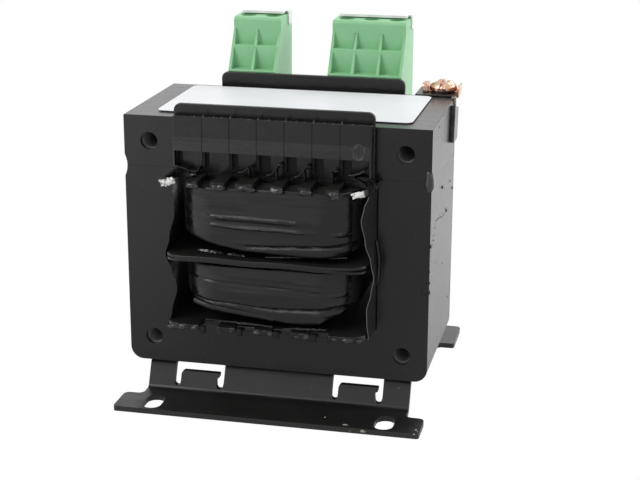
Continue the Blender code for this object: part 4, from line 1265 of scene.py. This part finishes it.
whole_s = (
    (-1.3, 56.4), (-0.6, 56.5), (0.3, 56.9), (1.0, 57.9), (1.6, 58.9), (2.2, 59.5), (2.9, 59.6), (3.2, 59.1),
)
low_s = ((-1.6, 56.7), (-0.8, 56.8), (0.2, 57.2), (1.0, 57.9), (1.7, 58.3), (2.5, 58.2))
hook = ((1.7, 56.4), (1.9, 57.6), (2.3, 58.5), (2.9, 58.8), (3.3, 58.4))
under = ((1.7, 58.7), (2.0, 57.4), (1.9, 56.2), (2.1, 54.9))
long_ledge = ((-26.4, 58.0), (-25.0, 57.6), (-23.2, 57.2), (-22.5, 56.8), (-22.3, 55.6))
short_ledge = ((-22.3, 56.6), (-20.9, 56.4), (-20.0, 56.6), (-19.5, 57.6))
flap = ((20.8, 57.9), (22.4, 58.1), (23.9, 58.6), (25.3, 59.5))
guides = []
for index, path in ((2, low_s), (3, whole_s), (4, whole_s), (5, hook)):
    shift = (index - 3) * PITCH
    guides.append(lip("guide", path, GUIDE_WALL, GUIDE_DEPTH, shift))
    guides.append(lip("guide_wall", under, 0.3, UNDER_DEPTH, shift))
guides.append(lip("ledge", long_ledge, 0.4, (-5.2, -2.1)))
guides.append(lip("ledge", short_ledge, 0.35, GUIDE_DEPTH))
guides.append(lip("flap", flap, 0.55, (-5.4, -2.3)))
front_guides = join("former_front_guides", *guides)
for half in (mirrored(front_guides, "former_rear_guides"), front_guides):
    finished(half, moulding, "former", degrees=50)

# %% [markdown]
# At the strip's right end the moulding has a pointed lug, and a strip of film stands out
# beside the window's edge.

# %% Model the lug and the bent film strip
lug_paths = (
    (((22.4, 57.5), (23.8, 57.0), (25.2, 56.2), (26.3, 55.3)), (-6.4, -4.6)),
    (((22.4, 57.5), (24.2, 57.5), (26.2, 57.3), (27.4, 56.2), (28.3, 55.0)), (-4.6, -2.2)),
)
lugs = [lip("lug", path, 0.3, depth) for path, depth in lug_paths]
finished(join("former_right_lug", *lugs), moulding, "former", degrees=50)
bent = ((28.0, 39.8), (28.4, 37.6), (28.8, 35.2), (28.85, 33.0), (28.75, 31.0), (28.6, 29.2), (28.2, 28.0))
bent_strip = finished(lip("bent_film", bent, 0.14, (-2.3, -0.5)), film, "foil", degrees=50)
# The bent strip's front edge takes the painted highlight
paint(bent_strip, film_front_highlight, lambda place, normal: normal.y < -0.7)

# %% [markdown]
# Above the divider a scrap of clear film is crumpled under the winding, and more scraps lie
# on the lowest flange. Each is a thin ribbon, bent by noise.

# %% Crumple the scraps of film
# Painted highlights: the clear film is a pale grey that stands for the glints on its creases, with darker
# patches
pale_scrap_glints = new_finish("film_scrap_painted_glints", (0.30, 0.30, 0.29), 0.2, specular=0.6)
mix_colour(pale_scrap_glints, (700, 3), (0.03, 0.03, 0.03), 0.35, 0.55)
add_bump(pale_scrap_glints, (500, 3), 0.1, 0.8)
dark_scrap = new_finish("varnished_film", (0.05, 0.05, 0.048), 0.25, specular=0.5)
add_bump(dark_scrap, (600, 3), 0.08, 0.7)


def scrap(name, start, end, height, seed, material):
    """A ribbon of film between two places, crumpled by noise."""
    alone()
    bpy.ops.mesh.primitive_grid_add(x_subdivisions=40, y_subdivisions=4, size=1)
    ribbon = bpy.context.object
    ribbon.name = name
    for corner in ribbon.data.vertices:
        share, across = corner.co.x + 0.5, corner.co.y + 0.5
        place = Vector(start).lerp(Vector(end), share)
        taper = math.sin(math.pi * min(0.97, max(0.03, share))) ** 0.5
        place.z += height * taper * (across - 0.2)
        place.y += 0.5 * across + 0.35 * rough(place, 0.9, seed)
        place.z += 0.14 * rough(place, 2.2, seed + 2)
        corner.co = at(*place)
    apply(ribbon, "SOLIDIFY", thickness=0.06 * MM, offset=0)
    finished(ribbon, material, "foil", degrees=60)


scrap("scrap_pale_left", (-19.6, -8.2, 35.75), (-12.2, -8.4, 35.35), 0.5, 1.0, pale_scrap_glints)
scrap("scrap_pale_right", (-11.2, -8.6, 35.3), (-6.2, -9.2, 35.2), 0.45, 4.0, pale_scrap_glints)
scrap("scrap_upper", (0.0, -11.2, 36.0), (21.6, -8.9, 36.6), 0.1, 6.0, dark_scrap)
scrap("scrap_low_left", (-12.6, -10.3, 16.9), (1.6, -10.3, 16.3), 0.32, 8.0, dark_scrap)
scrap("scrap_low_right", (4.6, -10.9, 16.3), (16.4, -10.6, 16.8), 0.25, 11.0, dark_scrap)

# %% [markdown]
# Resin has gathered in glossy lumps at the tips of the flanges. Each is a ball, flattened
# and roughened. The upper tips have two each, and the lower ones a smaller one.

# %% Drop the resin on the flanges' tips
TIPS = ((-19.4, 1.35), (-12.6, 1.75), (-5.3, 2.3), (3.2, 1.6), (10.7, 1.5), (18.1, 1.6))
LOW_TIPS = (
    (-25.4, 1.6), (-22.3, 1.8), (-19.8, 1.1), (-12.5, 1.1), (-9.6, 0.9), (-2.0, 1.2),
    (1.4, 0.8), (8.2, 1.1), (11.1, 0.9), (18.6, 1.3), (22.6, 2.2), (25.6, 0.9),
)


def drop(place, size, seed):
    """One hardened lump, with its radii across, through and up."""
    return dented(ball("drop", place, size), (0.45, 0.7, seed), (0.16, 2.2, seed))


drops = [drop((-20.8, -6.5, 56.1), (1.0, 0.9, 0.5), 31.0), drop((18.8, -11.6, 53.5), (0.9, 0.6, 0.5), 33.0)]
for index, (x, width) in enumerate(TIPS):
    drops.append(drop((x, -11.7, 54.6), (width, 1.1, 0.85), index))
    drops.append(drop((x + 0.5 * width, -11.6, 54.4), (width * 0.7, 0.9, 0.85), index + 40))
for index, (x, width) in enumerate(LOW_TIPS):
    drops.append(drop((x, -11.6, 14.85), (width, 0.6, 0.7), index + 60))
finished(join("resin_drops_front", *drops), resin, "former", degrees=70)

# %% [markdown]
# Two loose ends of white glass sleeving stick out at the upper flange's corners. Each is a
# short tube with a ragged end: a bar, hollowed by an inset and an inward extrude, whose
# rim is then pulled about.

# %% Model the sleeve ends
SLEEVE_SLICE = 0.3


def sleeve_end(name, start, end, radius, seed, solid):
    """A ragged tube between two places, open at its far end."""
    piece = rod(name, start, end, radius, 18)
    run = Vector(end) - Vector(start)
    way = run.normalized()
    step = way * SLEEVE_SLICE
    pick(piece, lambda place, normal: normal.dot(way) > 0.9)
    bpy.ops.mesh.inset(thickness=0.35 * radius * MM)
    bpy.ops.mesh.extrude_region_move(TRANSFORM_OT_translate={"value": -way * 1.2 * MM})
    alone(piece)
    slice_up(piece, Vector(start) + step, step, int(run.length / SLEEVE_SLICE) - 1)
    ways = [corner.normal.copy() for corner in piece.data.vertices]
    for (corner, place), out in zip(corners(piece), ways):
        corner.co += (out * 0.7 + way * 1.3) * MM * rough(place, 1.1, seed)
        corner.co += out * 0.3 * MM * rough(place, 3.1, seed)
    finished(piece, sleeving, "sleeve", solid, degrees=60)


sleeve_end("sleeve_end_left", (-25.6, -8.4, 54.7), (-28.7, -9.2, 53.9), 0.85, 3.0, "sleeve_left")
sleeve_end("sleeve_end_right", (26.0, -8.9, 54.4), (23.5, -9.9, 54.0), 0.75, 8.0, "sleeve_right")

# %% [markdown]
# Lacquer has run and gathered on the core's right side: a line of small drips down the
# front edge, a curved run across the side and scattered specks of dust. Beside the edge
# the front face has three small bumps.

# %% Let the lacquer run
SPECKS = (
    (19.9, 49.6), (11.5, 68.3), (10.9, 30.9), (35.9, 47.3), (29.9, 40.2),
    (24.2, 26.5), (16.3, 42.6), (40.8, 44.0), (38.0, 12.0),
)
RUN = ((2.5, 37.2), (6.1, 39.4), (8.8, 43.0), (12.5, 42.8), (16.3, 42.0), (24.2, 40.3), (30.0, 41.0))
RUN_DOTS = 22
EDGE_DRIPS = (
    (0.2, 38.6, 0.3), (0.3, 37.2, 0.5), (0.2, 35.4, 0.4), (0.3, 33.9, 0.6),
    (0.2, 31.5, 0.3), (0.3, 28.8, 0.8), (0.2, 25.9, 0.6),
)
BUMPS = ((40.9, 26.6), (40.4, 25.7), (41.5, 25.3))
runs = []
for index, (y, z) in enumerate(SPECKS):
    runs.append(drop((CORE_SIDE, y, z), (0.05, 0.24, 0.2), index + 30))
for index, (y, z, tall) in enumerate(EDGE_DRIPS):
    runs.append(drop((CORE_SIDE - 0.05, y, z), (0.22, 0.3, tall), index + 50))
for index, (x, z) in enumerate(BUMPS):
    runs.append(drop((x, 0.0, z), (0.4, 0.12, 0.36), index + 70))
for index in range(RUN_DOTS):
    y = RUN[0][0] + (RUN[-1][0] - RUN[0][0]) * index / (RUN_DOTS - 1)
    size = 0.10 + 0.10 * abs(rough((y, 0, 0), 2.3, 5.0))
    runs.append(drop((CORE_SIDE, y, along_knots(RUN, y)), (0.04, 2 * size, size), index + 10))
finished(join("lacquer_runs", *runs), lacquer, "core", degrees=80)

# %% [markdown]
# Each winding is wrapped in shiny black tape. A wrap is a block with rounded corners and
# the former's tube cut out, sliced into many small faces and then creased: long shallow
# wrinkles run round it, deepest where the tape was pulled over the lead wires.

# %% Write the steps of a taped winding
TAPE_SIDE = 25.5
TAPE_FRONT = -11.0
TAPE_CORNER = 11.0
TAPE_CELL = 0.35
TAPE_STEP = 1.7
BELLY = 0.7
INSET = 0.15
RIDGE_FADE = 3


def creases(place, along, seed, ridges):
    """How far the tape stands out at a place, by its folds and by named ridges."""
    relief = 0.20 * rough((place.x * 0.05, place.y * 0.05, place.z * 0.4), 1.0, seed)
    relief += 0.05 * rough((place.x * 0.12, place.y * 0.12, place.z * 1.8), 1.0, seed + 4)
    for start, end, height, slope, width, depth in ridges:
        fade = max(0.0, min(1.0, (along - start) / RIDGE_FADE, (end - along) / RIDGE_FADE))
        wander = 0.3 * rough((along * 0.12, height, 0), 1.0, seed)
        away = (place.z - height - slope * along - wander) / width
        relief += depth * fade * math.exp(-away * away)
    # Round the corners the tape lies tight again
    return relief * (0.15 + 0.85 * held((TAPE_SIDE - abs(place.x)) / RIDGE_FADE))


def in_the_tube(place):
    """True on the inner wall of a wrap."""
    return abs(place.x) < TUBE_SIDE + 0.2 and TUBE_FRONT - 0.2 < place.y < CORE_DEPTH - TUBE_FRONT + 0.2


def wrapped(name, node, bottom, high, seed, narrower, ridges):
    """One taped winding: a closed rounded block with ridges and creases along its wraps."""
    low = min(height for x, height in bottom)
    band = round_edges(around_core(name, TAPE_SIDE, TAPE_FRONT, low, high), upright, TAPE_CORNER, 16)
    combine(band, around_core("tube", TUBE_SIDE, TUBE_FRONT, low - 2, high + 2))
    slice_up(band, (0, 0, low + TAPE_CELL), (0, 0, TAPE_CELL), round((high - low) / TAPE_CELL) - 1)
    slice_up(band, (TAPE_STEP - TAPE_SIDE, 0, 0), (TAPE_STEP, 0, 0), round(2 * TAPE_SIDE / TAPE_STEP) - 1)
    for corner, place in corners(band):
        if in_the_tube(place):
            continue
        rise = held((place.z - low) / (high - low))
        along = place.x * (1 if place.y < MIRROR else -1)
        # The lower edge is not level, so the whole wall is drawn up to its height there
        shift = (along_knots(bottom, along) - low) * (1 - rise)
        place.z += shift
        outward = max(0.0, abs(place.x) - LEG_SIDE) * math.copysign(1, place.x)
        out = Vector((outward, 0.6 * (place.y - MIRROR), 0)).normalized()
        swell = BELLY * (math.sin(math.pi * rise) ** 0.4 - 0.9)
        edge_wave = 0.2 * rough((place.x * 0.09, place.y * 0.09, rise), 1.0, seed + 9)
        edge_wave *= abs(2 * rise - 1) ** 3
        corner.co += out * MM * (creases(place, along, seed, ridges) + swell - INSET)
        corner.co.x -= MM * narrower * max(-1.0, min(1.0, place.x / 20))
        corner.co.z += MM * (shift + edge_wave)
    finished(band, tape_film, "tape", *node, degrees=50)
    # The sides and tops of the tape take the lighter painted light
    return paint(band, tape_flank_painted_light, lambda place, normal: abs(normal.x) > 0.8 or normal.z > 0.7)


print("the tape's folds are", TAPE_CELL, "mm apart at the finest")

# %% [markdown]
# A ridge runs from one place across to another, at a height and a slope. It has a width,
# and a depth that is below zero where the tape is creased inwards.

# %% Wrap the windings in creased tape
UPPER_BOTTOM = (
    (-26, 40.3), (-20.4, 39.6), (-16, 38.9), (-12.4, 38.0), (-5.9, 36.9),
    (2.7, 36.5), (9.4, 36.2), (21.6, 36.8), (25, 38.2),
)
LOWER_BOTTOM = (
    (-24, 22.6), (-20.2, 21.5), (-15, 20.4), (-6.1, 19.2), (2.6, 18.0),
    (9.0, 17.6), (15.4, 18.1), (20.4, 20.4), (25, 22.6),
)
UPPER_RIDGES = (
    (-19, -6, 49.4, -0.01, 0.5, 0.24),
    (-17, 12, 46.0, -0.015, 0.50, 0.60),
    (-17, 14, 43.5, -0.025, 0.42, 0.62),
    (-16, 10, 44.7, -0.02, 0.4, -0.22),
    (-8, 26, 38.6, 0.06, 0.36, -0.75),
    (17, 24, 43.0, 0.0, 0.40, 0.75),
    (4, 24, 50.8, 0.01, 0.6, 0.14),
)
LOWER_RIDGES = (
    (-24, 20, 27.6, -0.045, 0.26, -0.34),
    (-14, 6, 25.5, -0.03, 0.55, 0.38),
    (-12, 8, 30.0, -0.01, 0.5, 0.22),
    (2, 22, 28.6, -0.01, 0.25, -0.30),
    (-24, 3, 21.6, -0.06, 0.30, -0.50),
    (-1, 27, 21.4, 0.055, 0.36, -0.75),
    (17, 24, 26.0, 0.0, 0.4, 0.55),
    (16, 24, 23.6, 0.0, 0.4, 0.5),
    (12, 24, 20.0, 0.05, 0.5, 0.35),
)
LOWER_NODES = ("primary_tape", "primary_winding")
UPPER_NODES = ("secondary_tape", "secondary_winding")
wrapped("primary_wrap", LOWER_NODES, LOWER_BOTTOM, 32.6, 2.0, 1.3, LOWER_RIDGES)
wrapped("secondary_wrap", UPPER_NODES, UPPER_BOTTOM, 54.0, 7.0, 0.5, UPPER_RIDGES)

# %% [markdown]
# The lower winding ends in a rolled rim, where the last wrap of tape is turned over.

# %% Roll the rim under the lower winding
RIM_RADIUS = 0.8


def rim_place(x):
    """The rim follows the lower edge of the tape, and sinks in towards the right."""
    past_corner = max(0.0, abs(x) - TAPE_SIDE + TAPE_CORNER)
    face = TAPE_FRONT + TAPE_CORNER - math.sqrt(TAPE_CORNER**2 - past_corner**2)
    return x, face + 0.5 + max(0.0, x + 10) * 0.05, along_knots(LOWER_BOTTOM, x) + 0.6


rim = tube("tape_rim", [rim_place(x) for x in range(-20, 4, 2)], RIM_RADIUS)
for corner, place in corners(rim):
    corner.co.z += MM * 0.14 * rough((place.x * 0.5, place.y, place.z), 1.0, 3.0)
finished(rim, tape_film, "tape", degrees=60)

# %% [markdown]
# A sheet of film stands on each side between the windings and the core. The flanges push
# it outwards and it springs in between them, so its front edge is a wavy line.

# %% Stand the wavy films beside the windings
FILM = 0.16
FILM_FRONT, FILM_BACK = -9.0, 52.6
FILM_SIDE = 27.8
SPRING = 9.0
FILM_ROWS, FILM_COLUMNS = 60, 24
LEFT_KNOTS = (
    (28.0, 13.9), (26.8, 18.0), (25.2, 25.0), (26.6, 29.8), (28.2, 34.3),
    (27.0, 39.0), (25.4, 46.1), (25.6, 50.5), (26.5, 54.6),
)
RIGHT_KNOTS = (
    (27.5, 14.6), (27.0, 19.0), (26.9, 22.6), (28.0, 27.5), (28.7, 31.4),
    (27.9, 35.6), (26.3, 41.0), (25.2, 46.9), (25.9, 50.5), (27.1, 53.6),
)


def film_sheet(name, side, knots, material, node):
    """A thin sheet that follows knots of across and height at its front edge."""
    alone()
    low, high = knots[0][1], knots[-1][1]
    bpy.ops.mesh.primitive_grid_add(x_subdivisions=FILM_ROWS, y_subdivisions=FILM_COLUMNS, size=1)
    sheet = bpy.context.object
    sheet.name = name
    for corner in sheet.data.vertices:
        z = low + (corner.co.x + 0.5) * (high - low)
        y = FILM_FRONT + (corner.co.y + 0.5) * (FILM_BACK - FILM_FRONT)
        step = max(index for index in range(len(knots) - 1) if knots[index][1] <= z + 1e-6)
        (start, bottom), (end, top) = knots[step], knots[step + 1]
        share = (z - bottom) / (top - bottom)
        x = start + (end - start) * share * share * (3 - 2 * share)
        inside = min(1.0, max(0.0, (y - FILM_FRONT) / SPRING), max(0.0, (FILM_BACK - y) / SPRING))
        corner.co = at(side * (x + (FILM_SIDE - x) * inside), y, z)
    apply(sheet, "SOLIDIFY", thickness=FILM * MM, offset=0)
    return finished(sheet, material, "foil", node, degrees=60)


# The left film takes the darker copy, and the right film the lighter one
film_sheet("side_film_left", -1, LEFT_KNOTS, shaded_left_film, "foil_left")
right_film = film_sheet("side_film_right", 1, RIGHT_KNOTS, film, "foil_right")
# The right film's front edge takes the painted highlight
paint(right_film, film_front_highlight, lambda place, normal: place.y < FILM_FRONT + 0.2 and abs(normal.y) > 0.7)

# %% [markdown]
# The earth terminal starts with a bent bracket of lacquered sheet. It lies on the core's
# top, its neck turns down over the edge, and a tab stands along the core's side. Three
# blocks are shaped, softened and joined. The neck is painted pale, as a painted reflection.

# %% Bend the earth bracket
BRACKET_SHEET = 0.45
PLATE_TOP = 70.72
PLATE_UNDER = PLATE_TOP - BRACKET_SHEET
TAB_LOW, TAB_HIGH = 59.0, 69.5
TAB_FRONT, TAB_BACK = 34.0, 41.2
TAB_RAKE, TAB_SLOPE = 0.15, 0.26
NECK_FRONT = 39.4


def bracket_pieces():
    """The flat plate, the neck and the raked tab."""
    plate = block("earth_bracket_plate", (30.6, 41.3, PLATE_UNDER), (42.3, 52.6, PLATE_TOP))
    combine(plate, block("arm", (41.3, NECK_FRONT, PLATE_UNDER), (42.3, 45, PLATE_TOP)), how="UNION")
    neck = block("neck", (42.15, NECK_FRONT, TAB_HIGH - 3), (42.5, TAB_BACK - 0.2, PLATE_TOP))
    round_edges(neck, lambda place, way: through(place, way) and place.x > 42.4 and place.z > 70.5, 0.25, 4)
    tab = block("tab", (42.08, TAB_FRONT, TAB_LOW), (43.22, TAB_BACK, TAB_HIGH))
    round_edges(tab, lambda place, way: abs(way.x) > 0.9 and place.z < TAB_LOW + 1, 0.9, 4)
    slice_up(tab, (0, 0, TAB_LOW + 1.2), (0, 0, 1.0), 8)
    for corner, place in corners(tab):
        if place.z > TAB_HIGH - 0.1:
            corner.co.z -= MM * TAB_SLOPE * (place.y - TAB_FRONT)
        corner.co.y += MM * TAB_RAKE * (place.z - TAB_HIGH)
    return [soften(clean(piece), 0.1, 2) for piece in (plate, neck, tab)]


def on_the_neck(place, normal):
    """True on the bend of the neck, which is painted pale as a painted reflection."""
    return place.x > 41.2 and NECK_FRONT - 0.1 < place.y < 41.3 and place.z > TAB_HIGH - 1.4


bracket = finished(join("earth_bracket_sheet", *bracket_pieces()), sheet_edges, "core", "earth_bracket")
# The neck is painted pale, as a painted reflection
paint(bracket, chips_and_neck_reflection, on_the_neck)
# The tab's front face is painted paler, as painted light
paint(bracket, pale_wear_and_light, lambda place, normal: place.x > 42.1 and place.z < TAB_HIGH and normal.y < -0.7)

# %% [markdown]
# On the bracket lies a copper clamp with two turned-up ears. They are blocks, sliced finely
# and then dented by noise, as if hammered.

# %% Press the copper clamp
CLAMP_TOP = 71.25
EAR_BEND = 71.2
EAR_SLICES = (0.4, 0.6)


def ear(low, high, lean, seed):
    """One turned-up ear of the clamp, leaning outwards and roughly rounded."""
    piece = block("ear", low, high)
    round_edges(piece, lambda place, way: abs(way.x) > 0.9 and place.z > low[2] + 1, 0.9, 5)
    for axis, step in ((2, EAR_SLICES[0]), (1, EAR_SLICES[1])):
        way = Vector((0, 0, 0))
        way[axis] = step
        start = Vector((0, 0, 0))
        start[axis] = low[axis] + step
        slice_up(piece, start, way, int((high[axis] - low[axis]) / step) - 1)
    for corner, place in corners(piece):
        corner.co.x += MM * lean * max(0.0, place.z - EAR_BEND)
    return dented(piece, (0.10, 0.9, seed))


clamp = block("earth_clamp_plate", (32.6, 45.6, PLATE_TOP), (42.6, 51.0, CLAMP_TOP))
slice_up(clamp, (33.6, 0, 0), (1.0, 0, 0), 9)
dented(clamp, (0.08, 0.6, 2.0))
left_ear = ear((32.2, 44.4, 70.8), (33.8, 49.8, 73.2), -0.05, 4.0)
right_ear = ear((42.3, 42.4, 69.9), (42.95, 48.2, 73.3), 0.16, 7.0)
ears = soften(join("earth_clamp_ears", clamp, left_ear, right_ear), 0.12, 2, 50)
finished(ears, copper_plate, "earth", "earth_clamp", degrees=50)

# %% [markdown]
# The clamp's screw has a domed head that a slot cuts into two lobes. A disc and a flattened
# ball are joined, slotted and rounded, then remeshed, so that the whole can be dented.

# %% Cut the slotted screw head
SCREW_AT = (37.8, 47.1)
HEAD_RADIUS = 3.75
HEAD_LOW, HEAD_RIM, HEAD_HIGH = 71.2, 72.3, 74.15
DOME_SUNK = 0.4
SLOT_WIDE, SLOT_DEEP = 1.3, 1.9
SLOT_TURN = math.radians(-6)
head = rod("earth_screw_head", (*SCREW_AT, HEAD_LOW), (*SCREW_AT, HEAD_RIM), HEAD_RADIUS, 48)
dome_radii = (HEAD_RADIUS - 0.02, HEAD_RADIUS - 0.02, HEAD_HIGH - HEAD_RIM + DOME_SUNK)
combine(head, ball("dome", (*SCREW_AT, HEAD_RIM - DOME_SUNK), dome_radii, 48, 24), how="UNION")
slot = block("slot", (-SLOT_WIDE / 2, -6, -SLOT_DEEP), (SLOT_WIDE / 2, 6, 3))
slot.data.transform(Matrix.Translation(-ORIGIN))
slot.data.transform(Matrix.Rotation(SLOT_TURN, 4, "Z"))
slot.data.transform(Matrix.Translation(at(SCREW_AT[0] + 0.5, SCREW_AT[1], HEAD_HIGH)))
soften(combine(head, slot), 0.4, 4, 40)
apply(head, "REMESH", mode="VOXEL", voxel_size=0.16 * MM)
dented(head, (0.5, 0.4, 12.0))
dented(head, (0.06, 1.2, 15.0))
finished(head, copper_plate, "earth", "earth_screw", degrees=80)

# %% [markdown]
# The terminal housings are stepped in front: a wall goes straight down behind each cell to
# a shelf, and the next wall starts at that shelf's lip. Thin fins divide the cells, coming
# to a point at the top. The model's plain cells are filled and cut again in steps.

# %% Cut the stepped cells of the terminal housings
FIN = 0.8
HOUSING_GAP = 0.6
UPPER_WALL, LOWER_WALL = 53.0, 50.1
FIN_TOP, SHELF_HIGH, CELL_LOW = 85.3, 81.1, 74.9
BROW = 1.0


def cell_cuts(low, high, poles):
    """The tools that cut each pole's cells: below the brow, over the shelf and at the floor."""
    pitch = (high.x - low.x + HOUSING_GAP) / poles
    fins = [low.x + index * pitch - HOUSING_GAP / 2 for index in range(1, poles)]
    lefts = [low.x + FIN] + [fin + FIN / 2 for fin in fins]
    rights = [fin - FIN / 2 for fin in fins] + [high.x - FIN]
    for left, right in zip(lefts, rights):
        yield block("border", (left, UPPER_WALL - 2, FIN_TOP - 0.5), (right, UPPER_WALL, FIN_TOP + 0.5))
        yield block("lip", (left, LOWER_WALL - 2, SHELF_HIGH - 1.0), (right, LOWER_WALL, SHELF_HIGH))
        yield block("floor", (left, LOWER_WALL - 5, CELL_LOW - 0.4), (right, LOWER_WALL, CELL_LOW + 0.5))


def stepped_housing(node, name, poles):
    """A housing with its cells filled up to stepped walls, and a rounded brow."""
    low, high = node_box(node)
    left, right, back = low.x + FIN / 2, high.x - FIN / 2, UPPER_WALL + 0.6
    body = solid_copy(node, name)
    upper = block("upper_wall", (left, UPPER_WALL, SHELF_HIGH - 0.3), (right, back, FIN_TOP - 0.1))
    lower = block("lower_wall", (left, LOWER_WALL, CELL_LOW - 0.3), (right, back, SHELF_HIGH - 0.2))
    combine(body, upper, lower, how="UNION")
    combine(body, *cell_cuts(low, high, poles))
    # The cuts leave the front wall a hair out of flat, so it is set straight
    for corner, place in corners(body):
        if abs(place.y - UPPER_WALL) < 0.1 and place.z > SHELF_HIGH - 0.1:
            corner.co.y = ORIGIN.y + UPPER_WALL * MM
    clean(body)
    top, front = high.z - 0.1, UPPER_WALL + 0.1
    round_edges(body, lambda place, way: abs(way.x) > 0.9 and place.z > top and place.y < front, BROW, 5)
    finished(soften(body, 0.12, 1), green, "housing", node, degrees=20)


stepped_housing("input_housing", "housing_input", 2)
stepped_housing("output_housing", "housing_output", 3)

# %% [markdown]
# A card marker lies on each housing and reaches a little past its front. Its right end is
# folded down and clips over the housing's side.

# %% Fold the marker strips over the housings
MARKER_REACH = 1.1
CLIP_FRONT, CLIP_BACK = 4.6, 1.0
CLIP_SHEET = 0.35


def marker_strip(node, name):
    """A marker strip with rounded corners, whose end clips over the housing's side."""
    low, high = node_box(node)
    front, back = high.y - CLIP_FRONT, high.y - CLIP_BACK
    across = high.x + FIN + 0.02
    strip = block(name, (low.x, low.y - MARKER_REACH, low.z), high)
    round_edges(strip, upright, 0.5, 4)
    over = block("over", (high.x - 1.2, front, high.z - 0.4), (across + 0.2, back, high.z - 0.06))
    clip = block("clip", (across, front, high.z - 4.4), (across + CLIP_SHEET, back, high.z - 0.03))
    round_edges(clip, lambda place, way: abs(way.x) > 0.9, 0.7, 6)
    finished(soften(join(name, strip, over, clip), 0.06, 1), marker_film, "marker", node)


marker_strip("input_marker", "marker_input")
marker_strip("output_marker", "marker_output")

# %% [markdown]
# The foot keeps its shape, with softer edges. The legs of its two hook slots in front end
# in round bulbs, and its paint is chipped at the front edge and the right front corner.

# %% Finish the foot
BULBS = ((-28.85, 0.9), (-16.55, 1.0), (16.35, 0.9), (28.65, 1.0))
BULB_HEIGHT = -6.5
REAR = 52
CHIPS = (
    (27.5, -15.2, -9.1, 0.9, 0.07, 0.28),
    (41.3, -12.6, -8.42, 0.2, 0.35, 0.06),
    (41.9, -13.6, -8.5, 0.25, 0.3, 0.08),
    (41.0, -15.1, -8.6, 0.4, 0.1, 0.12),
    (-15.4, -13.1, -8.42, 0.35, 0.2, 0.05),
    (16.1, -10.0, -8.42, 0.25, 0.2, 0.05),
    (22.6, -13.6, -8.42, 0.8, 0.12, 0.05),
)
foot = soften(solid_copy("foot_bracket", "foot_sheet"), 0.28, 3)
combine(foot, *[rod("leg", (x, -5, BULB_HEIGHT), (x, 5, BULB_HEIGHT), radius, 24) for x, radius in BULBS])
slice_up(foot, (0, REAR, 0), (0, 1, 0), 1)
finished(foot, foot_paint, "foot", "foot_bracket")
# The top of the foot's rear end takes the painted sheen
paint(foot, rear_foot_painted_sheen, lambda place, normal: place.y > REAR and normal.z > 0.7)
chips = [drop(chip[:3], chip[3:], index + 90) for index, chip in enumerate(CHIPS)]
finished(join("foot_chips", *chips), chips_and_neck_reflection, "foot", degrees=80)

# %% [markdown]
# The remaining solids keep their shape. Each gets a fine round on its edges, since a
# perfectly sharp edge catches no light. Unseen ones are left as they are.

# %% Soften the edges of the solids that are already right
slots = {part["node"]: part["material_slot"] for part in frame["record"]["subparts"]}


def softened(node, name, material, width, segments=2):
    """A copy of a solid with fine rounds, which stands for it."""
    finished(soften(solid_copy(node, name), width, segments), material, slots[node], node)


INSIDE_A_POLE = (("terminal_screw", zinc, 0.12), ("clamp_cage", tin, 0.12), ("contact_tail", tin, 0.1))
softened("rating_label", "label_sheet", label_film, 0.05, 1)
softened("earth_nut", "earth_nut_hex", zinc, 0.15)
for index in range(1, 6):
    for kind, material, width in INSIDE_A_POLE:
        softened(f"{kind}_{index}", f"{kind}_{index}_soft", material, width)

# %% [markdown]
# The solids whose shape is already right keep it and take their finish.

# %% Finish the solids that stay
KEPT = {
    "core": lacquer, "weld": weld_lacquer, "former": moulding, "winding": enamel,
    "tape": tape_film, "foil": film, "foot": foot_paint, "label": label_film,
    "housing": green, "marker": marker_film, "screw": zinc, "cage": tin,
    "tail": tin, "lead": enamel, "sleeve": sleeving, "earth": copper_plate,
}
for part in frame["record"]["subparts"]:
    solid = nodes[part["node"]]
    solid.data.materials.clear()
    solid.data.materials.append(KEPT[part["material_slot"]])
print(len(nodes), "solids have a finish")

# %% [markdown]
# Last, the dressed part's box is measured and printed.

# %% Measure and finish
dressed_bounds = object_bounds()
for name, bounds in (("cad", cad_bounds), ("visual", dressed_bounds)):
    [list(corner) for corner in bounds]
print("the dressed box in mm:", [round(side / MM, 1) for side in dressed_bounds[1] - dressed_bounds[0]])
